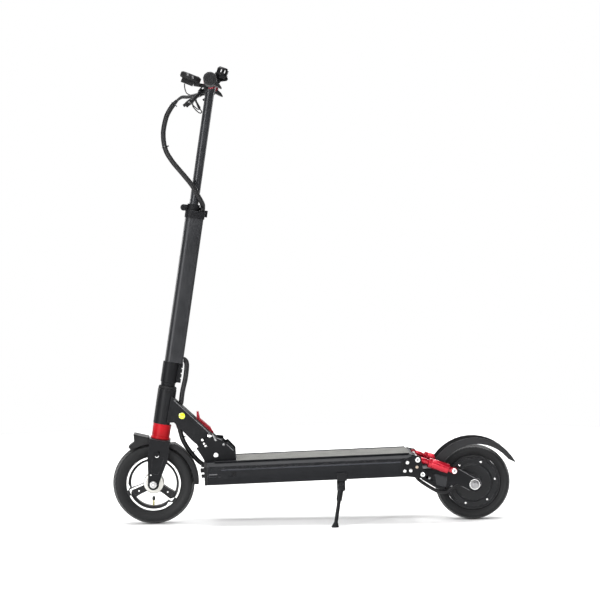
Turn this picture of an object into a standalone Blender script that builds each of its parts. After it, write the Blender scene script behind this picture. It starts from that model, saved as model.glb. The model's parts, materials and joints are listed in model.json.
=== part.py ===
"""An electric kick scooter with a folding, telescopic stem, folding handlebars and sprung wheels.

It faces -X, stands on z = 0 on its two tyres and its side stand, and its rider's left is -Y.
All sizes are in metres.
"""

from math import atan2, cos, pi, radians, sin

import bmesh
import bpy
from mathutils import Matrix, Vector

# Wheels and stance
FRONT_AXLE_X = -0.4235
REAR_AXLE_X = 0.4207
FRONT_TYRE_R = 0.108
FRONT_TYRE_HALF = 0.025
REAR_TYRE_R = 0.0995
REAR_TYRE_HALF = 0.027
RAKE = radians(8.9)

# Clearances
SEAT = 0.0003
RUN = 0.0005

# Deck, measured in a frame that tips with it, its origin on the tape at x = 0
DECK_TILT = radians(1.775)
DECK_TOP = 0.1773
DECK_FRONT = -0.282
DECK_REAR = 0.252
DECK_HALF = 0.092
DECK_DEEP = 0.0600
DECK_WALL = 0.003
SHOULDER_HALF = DECK_HALF - 0.012
SHOULDER_DROP = 0.0115
GROOVE_TALL = 0.0048
GROOVE_DEEP = 0.003
TAPE_THICK = 0.001
TAPE_HALF = SHOULDER_HALF - 0.0005
CAP_THICK = 0.0077
BATTERY_HALF = DECK_HALF - 0.020
BATTERY_TALL = DECK_DEEP - 0.015

# Stem fold
FOLD_X = -0.258
FOLD_RISE = 0.015
FOLD_BOLT_R = 0.005
BRACKET_INNER = 0.0395
BRACKET_PLATE = 0.006
BRACKET_BASE = 0.0035
NECK_SIDE_GAP = 0.0013
NECK_HEAD_HALF = 0.0234
NECK_TALL = 0.0485
NECK_OVER = 0.0331
CHANNEL_HALF = 0.014
LEVER_ALONG = 0.0120
LEVER_SUNK = 0.0075
LEVER_LUG = 0.0070
LEVER_HALF = 0.0130
LEVER_PIN = 0.0030
LEVER_PIN_HALF = 0.0375

# Steering column, as distances up the steering axis from the front axle
CROWN_LOW = FRONT_TYRE_R + 0.0052
CROWN_TALL = 0.005
HEAD_LOW = CROWN_LOW + CROWN_TALL + 0.0404
HEAD_TALL = 0.0937
HEAD_R = 0.0245
BEARING_TALL = 0.0094
BEARING_R = 0.0191
STEERER_R = 0.0135
STEERER_BORE = 0.0104
BASE_R = 0.0210
STEM_LOW = HEAD_LOW + HEAD_TALL + 0.0720
STEM_TALL = 0.3957
STEM_FRONT = 0.0176
STEM_BACK = 0.0306
STEM_HALF = 0.020
STEM_BORE = 0.0141
UPPER_R = 0.0119
UPPER_WALL = 0.002
UPPER_LOW = STEM_LOW + STEM_TALL - 0.1600
BAR_S = STEM_LOW + STEM_TALL + 0.3428

# Fork and front suspension
FORK_IN = 0.036
FORK_LEG = 0.009
CROWN_HALF = 0.027
SLIDER_R = 0.0094
SLIDER_TOP = HEAD_LOW + 0.0314
BOOT_R = 0.0238
BOOT_WALL = 0.0030
SPRING_TURNS = 6
SPRING_WIRE = 0.0013

# Front wheel
RIM_R = 0.0738
RIM_INNER = 0.060
HUB_R = 0.027
HUB_HALF = 0.017
FRONT_SHAFT = 0.006

# Handlebar, as distances from the middle
PIN_Y = 0.085
KNUCKLE = 0.0116
KNUCKLE_R = 0.0098
TONGUE = 0.008
BAR_R = 0.0111
HEAD_BAR_R = 0.0125
BAR_END = 0.272
SLEEVE_Y = 0.0985
SLEEVE_LONG = 0.022
CLAMP_Y = 0.1320
CLAMP_LONG = 0.010
MOUNT_Y = 0.1445
MOUNT_LONG = 0.017
GRIP_Y = 0.168
GRIP_END = 0.275
GRIP_R = 0.0175
LEFT_LEVER_DROP = radians(48.5)
RIGHT_LEVER_DROP = radians(30.5)
LEVER_REACH = 0.034
LEVER_THICK = 0.008

# Rear end
ARM_PIVOT_X = 0.2815
ARM_PIVOT_Z = 0.1318
ARM_IN = DECK_HALF - 0.034
ARM_PLATE = 0.008
SHOCK_TOP_X = 0.2696
SHOCK_TOP_Z = 0.1705
SHOCK_LOW_X = 0.3649
SHOCK_LOW_Z = 0.1379
SHOCK_Y = DECK_HALF - 0.0127
SHOCK_R = 0.013
SHOCK_ROD_R = 0.008
EYE_R = 0.008
EYE_HALF = 0.0078
EYE_BOLT = 0.004
ARM_BOLT = 0.0045
LINK_PLATE = 0.005
MOTOR_R = 0.0719
MOTOR_SHAFT = 0.008
AXLE_END_R = 0.0060
FENDER_HALF = 0.038
FENDER_SKIN = 0.0024

# Side stand
STAND_X = 0.0688
STAND_Y = 0.008 - DECK_HALF
STAND_Z = 0.1052
STAND_SPLAY = radians(21.8)
STAND_LEAN = 0.0186

# Cables
LOOM_R = 0.0062
STEM_CABLE_R = 0.0070
NECK_CABLE_R = 0.0066
MOTOR_CABLE_R = 0.0046

# Steps round a turned part, from the wheels down to the smallest bolts
WHEEL = 24
ROUND = 16
COARSE = 12
SMALL = 8



def new_collection(name):
    group = bpy.data.collections.new(name)
    bpy.context.scene.collection.children.link(group)
    return group


for leftover in list(bpy.data.objects):
    bpy.data.objects.remove(leftover, do_unlink=True)
PARTS = new_collection("electric_scooter")
TOOLS = new_collection("cutters")
TOOLS.hide_render = True


def material(name, colour, roughness, metallic=0.0):
    """A Principled material, made once."""
    found = bpy.data.materials.get(name)
    if found:
        return found
    mat = bpy.data.materials.new(name)
    mat.use_nodes = True
    shader = mat.node_tree.nodes["Principled BSDF"]
    shader.inputs["Base Color"].default_value = (*colour, 1.0)
    shader.inputs["Roughness"].default_value = roughness
    shader.inputs["Metallic"].default_value = metallic
    mat.diffuse_color = (*colour, 1.0)
    return mat


def black_paint():
    return material("black_paint", (0.022, 0.023, 0.026), 0.45, 0.2)


def black_anodised():
    return material("black_anodised", (0.035, 0.036, 0.042), 0.38, 0.6)


def black_plastic():
    return material("black_plastic", (0.02, 0.02, 0.021), 0.55)


def rubber():
    return material("rubber", (0.018, 0.018, 0.019), 0.8)


def red_metal():
    return material("red_metal", (0.55, 0.01, 0.03), 0.25, 0.5)


def steel():
    return material("steel", (0.55, 0.55, 0.56), 0.3, 1.0)


def frame_at(name, matrix, parent=None):
    """An empty that stands on a joint's axis, and carries the pieces that turn or slide there."""
    empty = bpy.data.objects.new(name, None)
    empty.empty_display_size = 0.03
    PARTS.objects.link(empty)
    if parent:
        empty.parent = parent
    empty.matrix_basis = matrix
    bpy.context.view_layer.update()
    return empty


def shift(x, y, z):
    return Matrix.Translation((x, y, z))


def turn(angle, axis):
    return Matrix.Rotation(angle, 4, axis)


# How a shape drawn in its own XY plane, or turned about its own Z, is stood up
ALONG_Z = Matrix.Identity(4)
SIDE_VIEW = turn(pi / 2, "X")
END_VIEW = turn(pi / 2, "Z") @ turn(pi / 2, "X")
ALONG_Y = turn(-pi / 2, "X")


def add_object(name, mesh, frame, matrix, mat):
    obj = bpy.data.objects.new(name, mesh)
    PARTS.objects.link(obj)
    if frame:
        obj.parent = frame
    obj.matrix_basis = matrix
    if mat and obj.type == "MESH":
        mesh.materials.append(mat)
    bpy.context.view_layer.update()
    return obj


def smooth(obj, angle=35):
    obj.data.shade_smooth()
    obj.data.set_sharp_from_angle(angle=radians(angle))
    return obj


def clockwise(profile):
    """The profile in the order that turns it right side out."""
    area = 0.0
    for (r0, z0), (r1, z1) in zip(profile, profile[1:] + profile[:1]):
        area += r0 * z1 - r1 * z0
    return profile[::-1] if area > 0 else profile


def turned(name, frame, profile, mat, matrix=ALONG_Z, steps=ROUND, ring=False):
    """A profile of (radius, height) points turned about Z. A ring's profile closes on itself."""
    points = clockwise(list(profile))
    mesh = bpy.data.meshes.new(name)
    edges = [(i, i + 1) for i in range(len(points) - 1)]
    if ring:
        edges.append((len(points) - 1, 0))
    mesh.from_pydata([(r, 0.0, z) for r, z in points], edges, [])
    obj = add_object(name, mesh, frame, matrix, mat)
    screw = obj.modifiers.new("turn", "SCREW")
    screw.angle = 2 * pi
    screw.steps = steps
    screw.render_steps = steps
    screw.use_merge_vertices = True
    screw.merge_threshold = 0.00001
    screw.use_smooth_shade = True
    return obj


def as_mesh(obj, mat=None):
    """A curve made into a mesh with its caps welded on, in the same place."""
    graph = bpy.context.evaluated_depsgraph_get()
    graph.update()
    mesh = bpy.data.meshes.new_from_object(obj.evaluated_get(graph))
    form = bmesh.new()
    form.from_mesh(mesh)
    bmesh.ops.remove_doubles(form, verts=form.verts, dist=0.000005)
    bmesh.ops.recalc_face_normals(form, faces=form.faces)
    form.to_mesh(mesh)
    form.free()
    name, frame, basis = obj.name, obj.parent, obj.matrix_basis.copy()
    bpy.data.objects.remove(obj, do_unlink=True)
    mesh.materials.clear()
    return add_object(name, mesh, frame, basis, mat)


def add_spline(curve, points, closed):
    spline = curve.splines.new("POLY")
    spline.points.add(len(points) - 1)
    for knot, point in zip(spline.points, points):
        place = tuple(point) + (0.0,) * (3 - len(point))
        knot.co = (*place, 1.0)
    spline.use_cyclic_u = closed


def plate(name, frame, outline, thick, mat, matrix=SIDE_VIEW, holes=()):
    """A flat outline, with any holes, as thick as told and centred on its plane."""
    curve = bpy.data.curves.new(name, "CURVE")
    curve.dimensions = "2D"
    curve.fill_mode = "BOTH"
    curve.extrude = thick / 2
    add_spline(curve, outline, True)
    for hole in holes:
        add_spline(curve, hole, True)
    return as_mesh(add_object(name, curve, frame, matrix, None), mat)


def block(name, frame, low, high, mat, matrix=ALONG_Z, bevel=0.0, segments=2):
    """A box between two corners, with its edges rounded."""
    form = bmesh.new()
    bmesh.ops.create_cube(form, size=1.0)
    size = [h - l for l, h in zip(low, high)]
    middle = [(h + l) / 2 for l, h in zip(low, high)]
    bmesh.ops.scale(form, vec=size, verts=form.verts)
    bmesh.ops.translate(form, vec=middle, verts=form.verts)
    mesh = bpy.data.meshes.new(name)
    form.to_mesh(mesh)
    form.free()
    obj = add_object(name, mesh, frame, matrix, mat)
    if bevel:
        round_edges(obj, bevel, segments)
    return obj


def rod(name, frame, start, end, radius, mat=None, sides=COARSE, matrix=ALONG_Z):
    """A solid cylinder from one point to another."""
    start, end = Vector(start), Vector(end)
    run = end - start
    form = bmesh.new()
    bmesh.ops.create_cone(
        form, cap_ends=True, segments=sides, radius1=radius, radius2=radius, depth=run.length
    )
    place = Matrix.Translation((start + end) / 2) @ run.to_track_quat("Z", "Y").to_matrix().to_4x4()
    bmesh.ops.transform(form, matrix=place, verts=form.verts)
    mesh = bpy.data.meshes.new(name)
    form.to_mesh(mesh)
    form.free()
    return smooth(add_object(name, mesh, frame, matrix, mat))


def cross_rod(name, frame, x, z, low, high, radius, mat=None, sides=COARSE):
    """A cylinder that lies across, along Y."""
    return rod(name, frame, (x, low, z), (x, high, z), radius, mat, sides)


def round_edges(obj, width, segments=2, limit=35):
    bevel = obj.modifiers.new("round", "BEVEL")
    bevel.width = width
    bevel.segments = segments
    bevel.limit_method = "ANGLE"
    bevel.angle_limit = radians(limit)
    return obj


def combine(obj, tools, operation):
    for tool in tools if isinstance(tools, (list, tuple)) else [tools]:
        boolean = obj.modifiers.new(operation.lower(), "BOOLEAN")
        boolean.operation = operation
        boolean.object = tool
        tool.name = f"{obj.name}_{operation.lower()}_{len(obj.modifiers)}"
        tool.hide_render = True
        tool.display_type = "WIRE"
        PARTS.objects.unlink(tool)
        TOOLS.objects.link(tool)
    return obj


def cut(obj, tools):
    return combine(obj, tools, "DIFFERENCE")


def join(obj, tools):
    return combine(obj, tools, "UNION")


def arc(cx, cy, radius, start, end, count):
    """Points along an arc, its angles in degrees, both ends included."""
    points = []
    for i in range(count + 1):
        angle = radians(start + (end - start) * i / count)
        points.append((cx + radius * cos(angle), cy + radius * sin(angle)))
    return points


def circle(cx, cy, radius, sides=COARSE):
    return arc(cx, cy, radius, 0, 360 - 360 / sides, sides - 1)


def rounded_box(x0, x1, y0, y1, front, back, count=4):
    """A rectangle whose two corners at x0 and two at x1 have their own radii."""
    points = arc(x0 + front, y0 + front, front, 180, 270, count)
    points += arc(x1 - back, y0 + back, back, 270, 360, count)
    points += arc(x1 - back, y1 - back, back, 0, 90, count)
    points += arc(x0 + front, y1 - front, front, 90, 180, count)
    return points


def smooth_route(points, step):
    """Points a step apart on a smooth curve through a cable's own points."""
    ways = [Vector(p) for p in points]
    ways = [2 * ways[0] - ways[1]] + ways + [2 * ways[-1] - ways[-2]]
    route = [ways[1]]
    for a, b, c, d in zip(ways, ways[1:], ways[2:], ways[3:]):
        count = max(1, round((c - b).length / step))
        for i in range(1, count + 1):
            t = i / count
            place = 2 * b + (c - a) * t + (2 * a - 5 * b + 4 * c - d) * t**2
            route.append((place + (3 * b - a - 3 * c + d) * t**3) / 2)
    return route


def cable(name, frame, points, radius, step, mat, sides=2):
    """A cable along its route, with flat ends."""
    curve = bpy.data.curves.new(name, "CURVE")
    curve.dimensions = "3D"
    curve.bevel_depth = radius
    curve.bevel_resolution = sides
    curve.use_fill_caps = True
    add_spline(curve, smooth_route(points, step), False)
    return smooth(as_mesh(add_object(name, curve, frame, ALONG_Z, None), mat), 50)


def steer_point(x, s, y=0.0):
    """The place in the world of a point given along and across the steering axis."""
    return Vector(
        (
            FRONT_AXLE_X + x * cos(RAKE) + s * sin(RAKE),
            y,
            FRONT_TYRE_R - x * sin(RAKE) + s * cos(RAKE),
        )
    )


def deck_point(x, z, y=0.0):
    """The place in the world of a point given in the deck's tipped frame."""
    return Vector(
        (x * cos(DECK_TILT) - z * sin(DECK_TILT), y, DECK_TOP + x * sin(DECK_TILT) + z * cos(DECK_TILT))
    )


def deck_outline(inset=0.0):
    """The extrusion's outer section, right half then left half, in y and z."""
    top = -TAPE_THICK - SEAT
    half = DECK_HALF - inset
    shoulder_low = top - SHOULDER_DROP
    right = [
        (SHOULDER_HALF - inset, top - inset),
        (half - 0.001, shoulder_low + 0.0015),
        (half - 0.001, shoulder_low),
        (half - GROOVE_DEEP, shoulder_low - 0.0006),
        (half - GROOVE_DEEP, shoulder_low - GROOVE_TALL + 0.0006),
        (half, shoulder_low - GROOVE_TALL),
        (half, -DECK_DEEP + 0.006),
        (half - 0.002, -DECK_DEEP + 0.002),
        (half - 0.006, -DECK_DEEP),
    ]
    return right + [(-y, z) for y, z in reversed(right)]


def make_deck(tipped):
    """The extruded deck, what lies in it, its tape and its front cap."""
    top = -TAPE_THICK - SEAT
    cavity_top = top - DECK_WALL
    cavity_low = -DECK_DEEP + DECK_WALL
    cavity_half = DECK_HALF - GROOVE_DEEP - DECK_WALL
    step = SHOULDER_HALF - DECK_WALL
    cavity = [(step, cavity_top), (cavity_half, cavity_top - 0.010), (cavity_half, cavity_low)]
    cavity += [(-y, z) for y, z in reversed(cavity)]
    long = DECK_REAR - DECK_FRONT
    middle = shift((DECK_REAR + DECK_FRONT) / 2, 0, 0)
    deck = plate(
        "deck_extrusion", tipped, deck_outline(), long, black_anodised(), middle @ END_VIEW, [cavity]
    )
    slots = []
    for side in (-1, 1):
        face = side * DECK_HALF
        low = (DECK_FRONT + 0.004, face - 0.0015, -0.0385)
        high = (DECK_FRONT + 0.034, face + 0.0015, -0.0315)
        slots.append(block("slot", tipped, low, high, None))
    port_x = DECK_FRONT + 0.0690
    mouth = -DECK_HALF - 0.01
    port = rod("port", tipped, (port_x, mouth, -0.032), (port_x, mouth + 0.0122, -0.032), 0.0055)
    cut(deck, slots + [port])

    tape_front = FOLD_X + 0.0535
    block(
        "grip_tape",
        tipped,
        (tape_front, -TAPE_HALF, -TAPE_THICK),
        (DECK_REAR - 0.003, TAPE_HALF, 0.0),
        material("grip_tape", (0.36, 0.36, 0.34), 0.95),
    )

    cap_at = DECK_FRONT - SEAT - CAP_THICK / 2
    cap = plate(
        "deck_front_cap",
        tipped,
        deck_outline(0.0002),
        CAP_THICK,
        black_plastic(),
        shift(cap_at, 0, 0) @ END_VIEW,
    )
    face = cap_at - CAP_THICK / 2
    glands = []
    gland_y = DECK_HALF * 0.65
    for y in (-gland_y, gland_y):
        for z, radius, reach in ((-0.0225, 0.0062, 0.0100), (-0.0375, 0.0050, 0.0080)):
            low, high = (face - reach, y, z), (face + 0.002, y, z)
            glands.append(rod("gland", tipped, low, high, radius, sides=SMALL))
    join(cap, glands)

    floor = cavity_low + SEAT
    block(
        "battery_pack",
        tipped,
        (DECK_FRONT + 0.045, -BATTERY_HALF, floor),
        (DECK_REAR - 0.145, BATTERY_HALF, floor + BATTERY_TALL),
        material("battery_wrap", (0.02, 0.10, 0.35), 0.5),
        bevel=0.006,
        segments=1,
    )
    controller = block(
        "controller",
        tipped,
        (DECK_REAR - 0.130, -0.045, floor),
        (DECK_REAR - 0.025, 0.045, floor + 0.024),
        material("controller_case", (0.45, 0.46, 0.47), 0.4, 0.8),
    )
    fins = []
    for i in range(6):
        y = -0.0375 + i * 0.015
        low = (DECK_REAR - 0.130, y - 0.0015, floor + 0.023)
        fins.append(block("fin", tipped, low, (DECK_REAR - 0.025, y + 0.0015, floor + 0.030), None))
    join(controller, fins)


def make_bracket(tipped):
    """The black hinge bracket on the deck's nose, and the bolt that the stem folds about."""
    top = -TAPE_THICK
    outer = BRACKET_INNER + BRACKET_PLATE
    outline = [
        (FOLD_X + 0.0523, top),
        (FOLD_X + 0.0522, FOLD_RISE + 0.0100),
        (FOLD_X + 0.0325, FOLD_RISE + 0.0322),
        (FOLD_X + 0.0262, FOLD_RISE + 0.0295),
        (FOLD_X + 0.0208, FOLD_RISE + 0.0350),
        (FOLD_X + 0.0215, FOLD_RISE + 0.0418),
        (FOLD_X + 0.0060, FOLD_RISE + 0.0438),
        (FOLD_X - 0.0215, FOLD_RISE + 0.0454),
        (FOLD_X - 0.0440, FOLD_RISE + 0.0241),
        (FOLD_X - 0.0505, FOLD_RISE + 0.0193),
        (FOLD_X - 0.0398, FOLD_RISE + 0.0025),
        (FOLD_X - 0.0298, top),
    ]
    bracket = plate("hinge_bracket", tipped, outline, 2 * outer, black_paint())
    inside = block(
        "inside",
        tipped,
        (FOLD_X - 0.07, -BRACKET_INNER, top + BRACKET_BASE),
        (FOLD_X + 0.07, BRACKET_INNER, FOLD_RISE + 0.09),
        None,
    )
    bore = cross_rod("bore", tipped, FOLD_X, FOLD_RISE, -0.06, 0.06, FOLD_BOLT_R + SEAT)
    cut(bracket, [inside, bore])
    studs = []
    for side in (-1, 1):
        for x, z in ((0.0200, 0.0276), (-0.0290, 0.0300), (-0.0330, 0.0395)):
            low, high = sorted((side * (outer - 0.001), side * (outer + 0.003)))
            studs.append(cross_rod("stud", tipped, FOLD_X + x, FOLD_RISE + z, low, high, 0.0042, sides=SMALL))
    join(bracket, studs)

    head = 0.0068
    half = outer + SEAT
    profile = [
        (0, half + 0.0040),
        (head - 0.0010, half + 0.0040),
        (head, half),
        (FOLD_BOLT_R, half),
    ]
    profile += [(r, -y) for r, y in reversed(profile)]
    turned("fold_pivot_bolt", tipped, profile, steel(), shift(FOLD_X, 0, FOLD_RISE) @ ALONG_Y, COARSE)


def neck_half(along):
    """Half the neck's width, that far from the fold bolt towards the head tube."""
    wide = BRACKET_INNER - NECK_SIDE_GAP
    return wide - (wide - NECK_HEAD_HALF) * along / 0.190


def fold_place(x, s):
    """A point of the steering axis's plane as x and z from the fold bolt."""
    place = steer_point(x, s) - deck_point(FOLD_X, FOLD_RISE)
    return Vector((place.x, place.z))


def neck_edge():
    """The neck's back edge: its direction towards the stem, its outward normal and its lower end."""
    back = Vector((-0.002, 0.0473))
    run = (fold_place(0.0133, HEAD_LOW + 0.0765) - back).normalized()
    return run, Vector((run.y, -run.x)), back


def make_neck(fold):
    """The cast neck with its head tube, in the frame of the fold bolt, and the headset bearings."""
    run, side, back = neck_edge()
    pivot = deck_point(FOLD_X, FOLD_RISE)
    rel = fold_place
    head_top = rel(0.0133, HEAD_LOW + 0.0765)
    low_head = rel(0.012, HEAD_LOW + 0.0060)
    low_notch = rel(0.0300, HEAD_LOW + 0.0095)
    low_back = back + run * 0.0330 - side * NECK_TALL
    boss = 0.0112
    outline = [tuple(head_top), tuple(back), (0.0100, 0.030)]
    outline += arc(0, 0, boss, 15, -135, 8)
    outline += [tuple(low_back), tuple(low_notch), tuple(low_head)]
    neck = plate("neck", fold, outline, 2.0, black_paint())
    for vertex in neck.data.vertices:
        along = Vector((vertex.co.x, vertex.co.y)).dot(run)
        vertex.co.z = neck_half(along) if vertex.co.z > 0 else -neck_half(along)

    channel_outline = []
    past = NECK_TALL + 0.02
    for along, under in ((0.030, 0.0122), (0.030, past), (0.148, past), (0.148, 0.0122)):
        channel_outline.append(tuple(back + run * along - side * under))
    channel = plate("channel", fold, channel_outline, 2 * CHANNEL_HALF, None)

    column = shift(*(steer_point(0, 0) - pivot)) @ turn(RAKE, "Y")
    head_high = HEAD_LOW + HEAD_TALL
    tube = turned(
        "head_tube",
        fold,
        [
            (0, head_high),
            (HEAD_R - 0.0015, head_high),
            (HEAD_R, head_high - 0.0015),
            (HEAD_R, HEAD_LOW),
            (0, HEAD_LOW),
        ],
        None,
        column,
    )
    join(neck, tube)
    bearing_bore = BEARING_R + SEAT
    bore = turned(
        "head_bore",
        fold,
        [
            (0, head_high + 0.01),
            (bearing_bore, head_high + 0.01),
            (bearing_bore, head_high - BEARING_TALL - 2 * SEAT),
            (STEERER_R + 0.0037, head_high - BEARING_TALL - 2 * SEAT),
            (STEERER_R + 0.0037, HEAD_LOW + BEARING_TALL + 2 * SEAT),
            (bearing_bore, HEAD_LOW + BEARING_TALL + 2 * SEAT),
            (bearing_bore, HEAD_LOW - 0.01),
            (0, HEAD_LOW - 0.01),
        ],
        None,
        column,
    )
    hinge = cross_rod("hinge_bore", fold, 0, 0, -0.06, 0.06, FOLD_BOLT_R + SEAT)
    slot_outline = []
    for along, under in ((-0.02, -0.02), (-0.02, 0.015), (0.0095, 0.015), (0.0095, -0.02)):
        slot_outline.append(tuple(back + run * (LEVER_ALONG + along) - side * under))
    slot = plate("slot", fold, slot_outline, 2 * (LEVER_LUG + RUN), None)
    pin = back + run * LEVER_ALONG - side * LEVER_SUNK
    pin_bore = cross_rod("pin_bore", fold, pin.x, pin.y, -0.06, 0.06, LEVER_PIN + SEAT)
    cut(neck, [channel, bore, hinge, slot, pin_bore])

    for name, low in (
        ("lower_headset_bearing", HEAD_LOW + SEAT),
        ("upper_headset_bearing", head_high - SEAT - BEARING_TALL),
    ):
        high = low + BEARING_TALL
        inner = STEERER_R + SEAT
        ring = [
            (BEARING_R, high),
            (BEARING_R, low),
            (inner, low),
            (inner, high),
        ]
        turned(name, fold, ring, steel(), column, ring=True)


def make_fold_lever(fold):
    """The red release lever on the neck's back. Its lug turns on a pin in a slot of the neck."""
    run, up, back = neck_edge()
    pin = back + run * LEVER_ALONG - up * LEVER_SUNK
    axis = frame_at("fold_lever_axis", shift(pin.x, 0, pin.y), fold)
    over = LEVER_SUNK + SEAT + 0.0002

    def at(along, out):
        return tuple(run * along + up * out)

    lug = [at(0.0090, over + 0.0005)]
    for degrees in (20, -15, -50, -85, -120, -155, -190):
        angle = radians(degrees)
        lug.append(at(0.0058 * cos(angle), 0.0058 * sin(angle)))
    lug += [at(-0.0030, over + 0.0040), at(0.0090, over + 0.0045)]
    lever = plate("fold_lever", axis, lug, 2 * LEVER_LUG, red_metal())
    blade = [at(0.0035, over), at(0.0035, over + 0.0052), at(0.0120, over + 0.0070)]
    blade.append(at(0.0480, over + 0.0060))
    tip = at(0.0500, over + 0.0045)
    blade += [(tip[0] - 0.0014, tip[1] + 0.0183), (tip[0] - 0.0060, tip[1] + 0.0183)]
    blade += [(tip[0] - 0.0064, tip[1] - 0.0004), at(0.0490, over)]
    handle = plate("blade", axis, blade, 2 * LEVER_HALF, None)
    shaft = cross_rod("pin", axis, 0, 0, -LEVER_PIN_HALF, LEVER_PIN_HALF, LEVER_PIN)
    join(lever, [handle, shaft])


def make_column(column):
    """What turns with the steering: steerer, headset cap, lower stem, clamp and the red boot."""
    head_high = HEAD_LOW + HEAD_TALL
    cap_low = head_high + SEAT
    cap_high = cap_low + 0.0070
    spigot = STEM_BORE - SEAT
    base_top = STEM_LOW - SEAT
    race = HEAD_LOW - 0.0002
    sleeve_low = CROWN_LOW + CROWN_TALL + 0.0160
    profile = [
        (0, STEM_LOW + 0.0202),
        (spigot, STEM_LOW + 0.0202),
        (spigot, base_top),
        (BASE_R, base_top),
        (BASE_R, cap_high + 0.0105),
        (BASE_R - 0.0020, cap_high + 0.0090),
        (BASE_R - 0.0025, cap_high + SEAT),
        (STEERER_R, cap_high + SEAT),
        (STEERER_R, race),
        (BEARING_R - SEAT, race),
        (BEARING_R - SEAT, race - 0.0053),
        (STEERER_R, race - 0.0053),
        (STEERER_R, sleeve_low),
        (STEERER_BORE, sleeve_low),
        (STEERER_BORE, cap_high + 0.0026),
        (0, cap_high + 0.0026),
    ]
    steerer = turned("steerer", column, profile, black_paint())
    low = cap_high + 0.0125
    hook_half = 0.007
    hook = block(
        "hook", column, (BASE_R - 0.003, -hook_half, low), (STEM_BACK + 0.0014, hook_half, base_top), None
    )
    grooves = []
    for i in range(3):
        z = low + 0.010 + i * 0.013
        start = (BASE_R + 0.0085, -hook_half - 0.003, z)
        end = (STEM_BACK + 0.01, hook_half + 0.003, z + 0.004)
        grooves.append(block("groove", column, start, end, None))
    cut(hook, grooves)
    join(steerer, hook)

    ring = [
        (HEAD_R - 0.0005, cap_low),
        (HEAD_R - 0.0005, cap_low + 0.0035),
        (HEAD_R - 0.0025, cap_high),
        (STEERER_R + SEAT, cap_high),
        (STEERER_R + SEAT, cap_low),
    ]
    turned("headset_cap", column, ring, black_plastic(), ring=True)

    outline = rounded_box(-STEM_FRONT, STEM_BACK, -STEM_HALF, STEM_HALF, 0.0155, 0.006, 4)
    chamber = rounded_box(STEM_BORE + 0.0026, STEM_BACK - 0.0028, -0.012, 0.012, 0.002, 0.002, 2)
    plate(
        "lower_stem",
        column,
        outline,
        STEM_TALL,
        black_anodised(),
        shift(0, 0, STEM_LOW + STEM_TALL / 2),
        [circle(0, 0, STEM_BORE, ROUND), chamber],
    )
    make_clamp(column)

    boot_low = CROWN_LOW + CROWN_TALL + SEAT + 0.0001
    boot_high = HEAD_LOW - SEAT
    inner = BOOT_R - BOOT_WALL
    boot = [
        (BOOT_R, boot_high),
        (BOOT_R, boot_low + 0.017),
        (BOOT_R + 0.0006, boot_low + 0.005),
        (BOOT_R + 0.0020, boot_low + 0.0025),
        (BOOT_R + 0.0020, boot_low),
        (inner, boot_low),
        (inner, boot_high),
    ]
    turned("suspension_boot", column, boot, material("red_boot", (0.68, 0.005, 0.02), 0.35), ring=True)


def make_clamp(column):
    """The collar that clamps the sliding tube, with its quick-release lever."""
    stem_top = STEM_LOW + STEM_TALL
    low = stem_top - 0.0130
    rear_top = stem_top + 0.0072
    high = stem_top + 0.0235
    grow = 0.0020
    fit = 0.0004
    ear_x = -0.0250
    ear_z = stem_top + 0.0118
    outer = rounded_box(
        -STEM_FRONT - grow, STEM_BACK + grow, -STEM_HALF - grow, STEM_HALF + grow, 0.0170, 0.008, 4
    )
    clamp = plate(
        "stem_clamp", column, outer, rear_top - low, black_paint(), shift(0, 0, (rear_top + low) / 2)
    )
    neck_ring = rod("collar", column, (0, 0, low + 0.002), (0, 0, high), 0.0165, sides=ROUND)
    ear = cross_rod("ear", column, ear_x, ear_z, -0.014, 0.014, 0.0088)
    web = block("web", column, (ear_x, -0.007, ear_z - 0.0080), (-0.010, 0.007, ear_z + 0.0085), None)
    clip = block(
        "clip",
        column,
        (STEM_BACK, -0.008, stem_top - 0.0060),
        (STEM_BACK + 0.0084, 0.008, rear_top + 0.0045),
        None,
    )
    join(clamp, [neck_ring, ear, web, clip])
    pocket_outline = rounded_box(
        -STEM_FRONT - fit, STEM_BACK + fit, -STEM_HALF - fit, STEM_HALF + fit, 0.0157, 0.0062, 4
    )
    pocket = plate("pocket", column, pocket_outline, 0.03, None, shift(0, 0, stem_top + SEAT - 0.015))
    bore = rod("bore", column, (0, 0, low), (0, 0, high + 0.01), UPPER_R + SEAT, sides=ROUND)
    slit = block("slit", column, (-0.05, -0.0012, stem_top + 0.004), (-0.008, 0.0012, high + 0.01), None)
    cut(clamp, [pocket, bore, slit])
    cam_y = 0.0210
    pin = 0.0017
    skewer = cross_rod("skewer", column, ear_x, ear_z, -0.0185, cam_y - 0.0030, 0.0024, sides=SMALL)
    stop = cross_rod("stop", column, ear_x, ear_z, -0.0180, -0.0130, 0.0050, sides=COARSE)
    eye = rod("eye", column, (ear_x, cam_y, ear_z - 0.0022), (ear_x, cam_y, ear_z + 0.0022), 0.0042)
    join(clamp, [skewer, stop, eye])
    low, high = (ear_x, cam_y, ear_z - 0.01), (ear_x, cam_y, ear_z + 0.01)
    cut(clamp, rod("eye_hole", column, low, high, pin + SEAT))

    axis = frame_at("clamp_lever_axis", shift(ear_x, cam_y, ear_z), column)
    lever = plate(
        "clamp_lever",
        axis,
        [
            (-0.0055, -0.0035),
            (0.0, -0.0064),
            (0.0064, -0.001),
            (0.016, 0.0045),
            (0.050, 0.0050),
            (0.056, 0.0075),
            (0.054, 0.0100),
            (0.014, 0.0098),
            (0.000, 0.0066),
            (-0.0055, 0.0035),
        ],
        0.011,
        black_paint(),
        ALONG_Z,
    )
    fork_gap = block("fork_gap", axis, (-0.02, -0.02, -0.0027), (0.0052, 0.02, 0.0027), None)
    cut(lever, fork_gap)
    join(lever, rod("pin", axis, (0, 0, -0.0062), (0, 0, 0.0062), pin, sides=SMALL))


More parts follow.
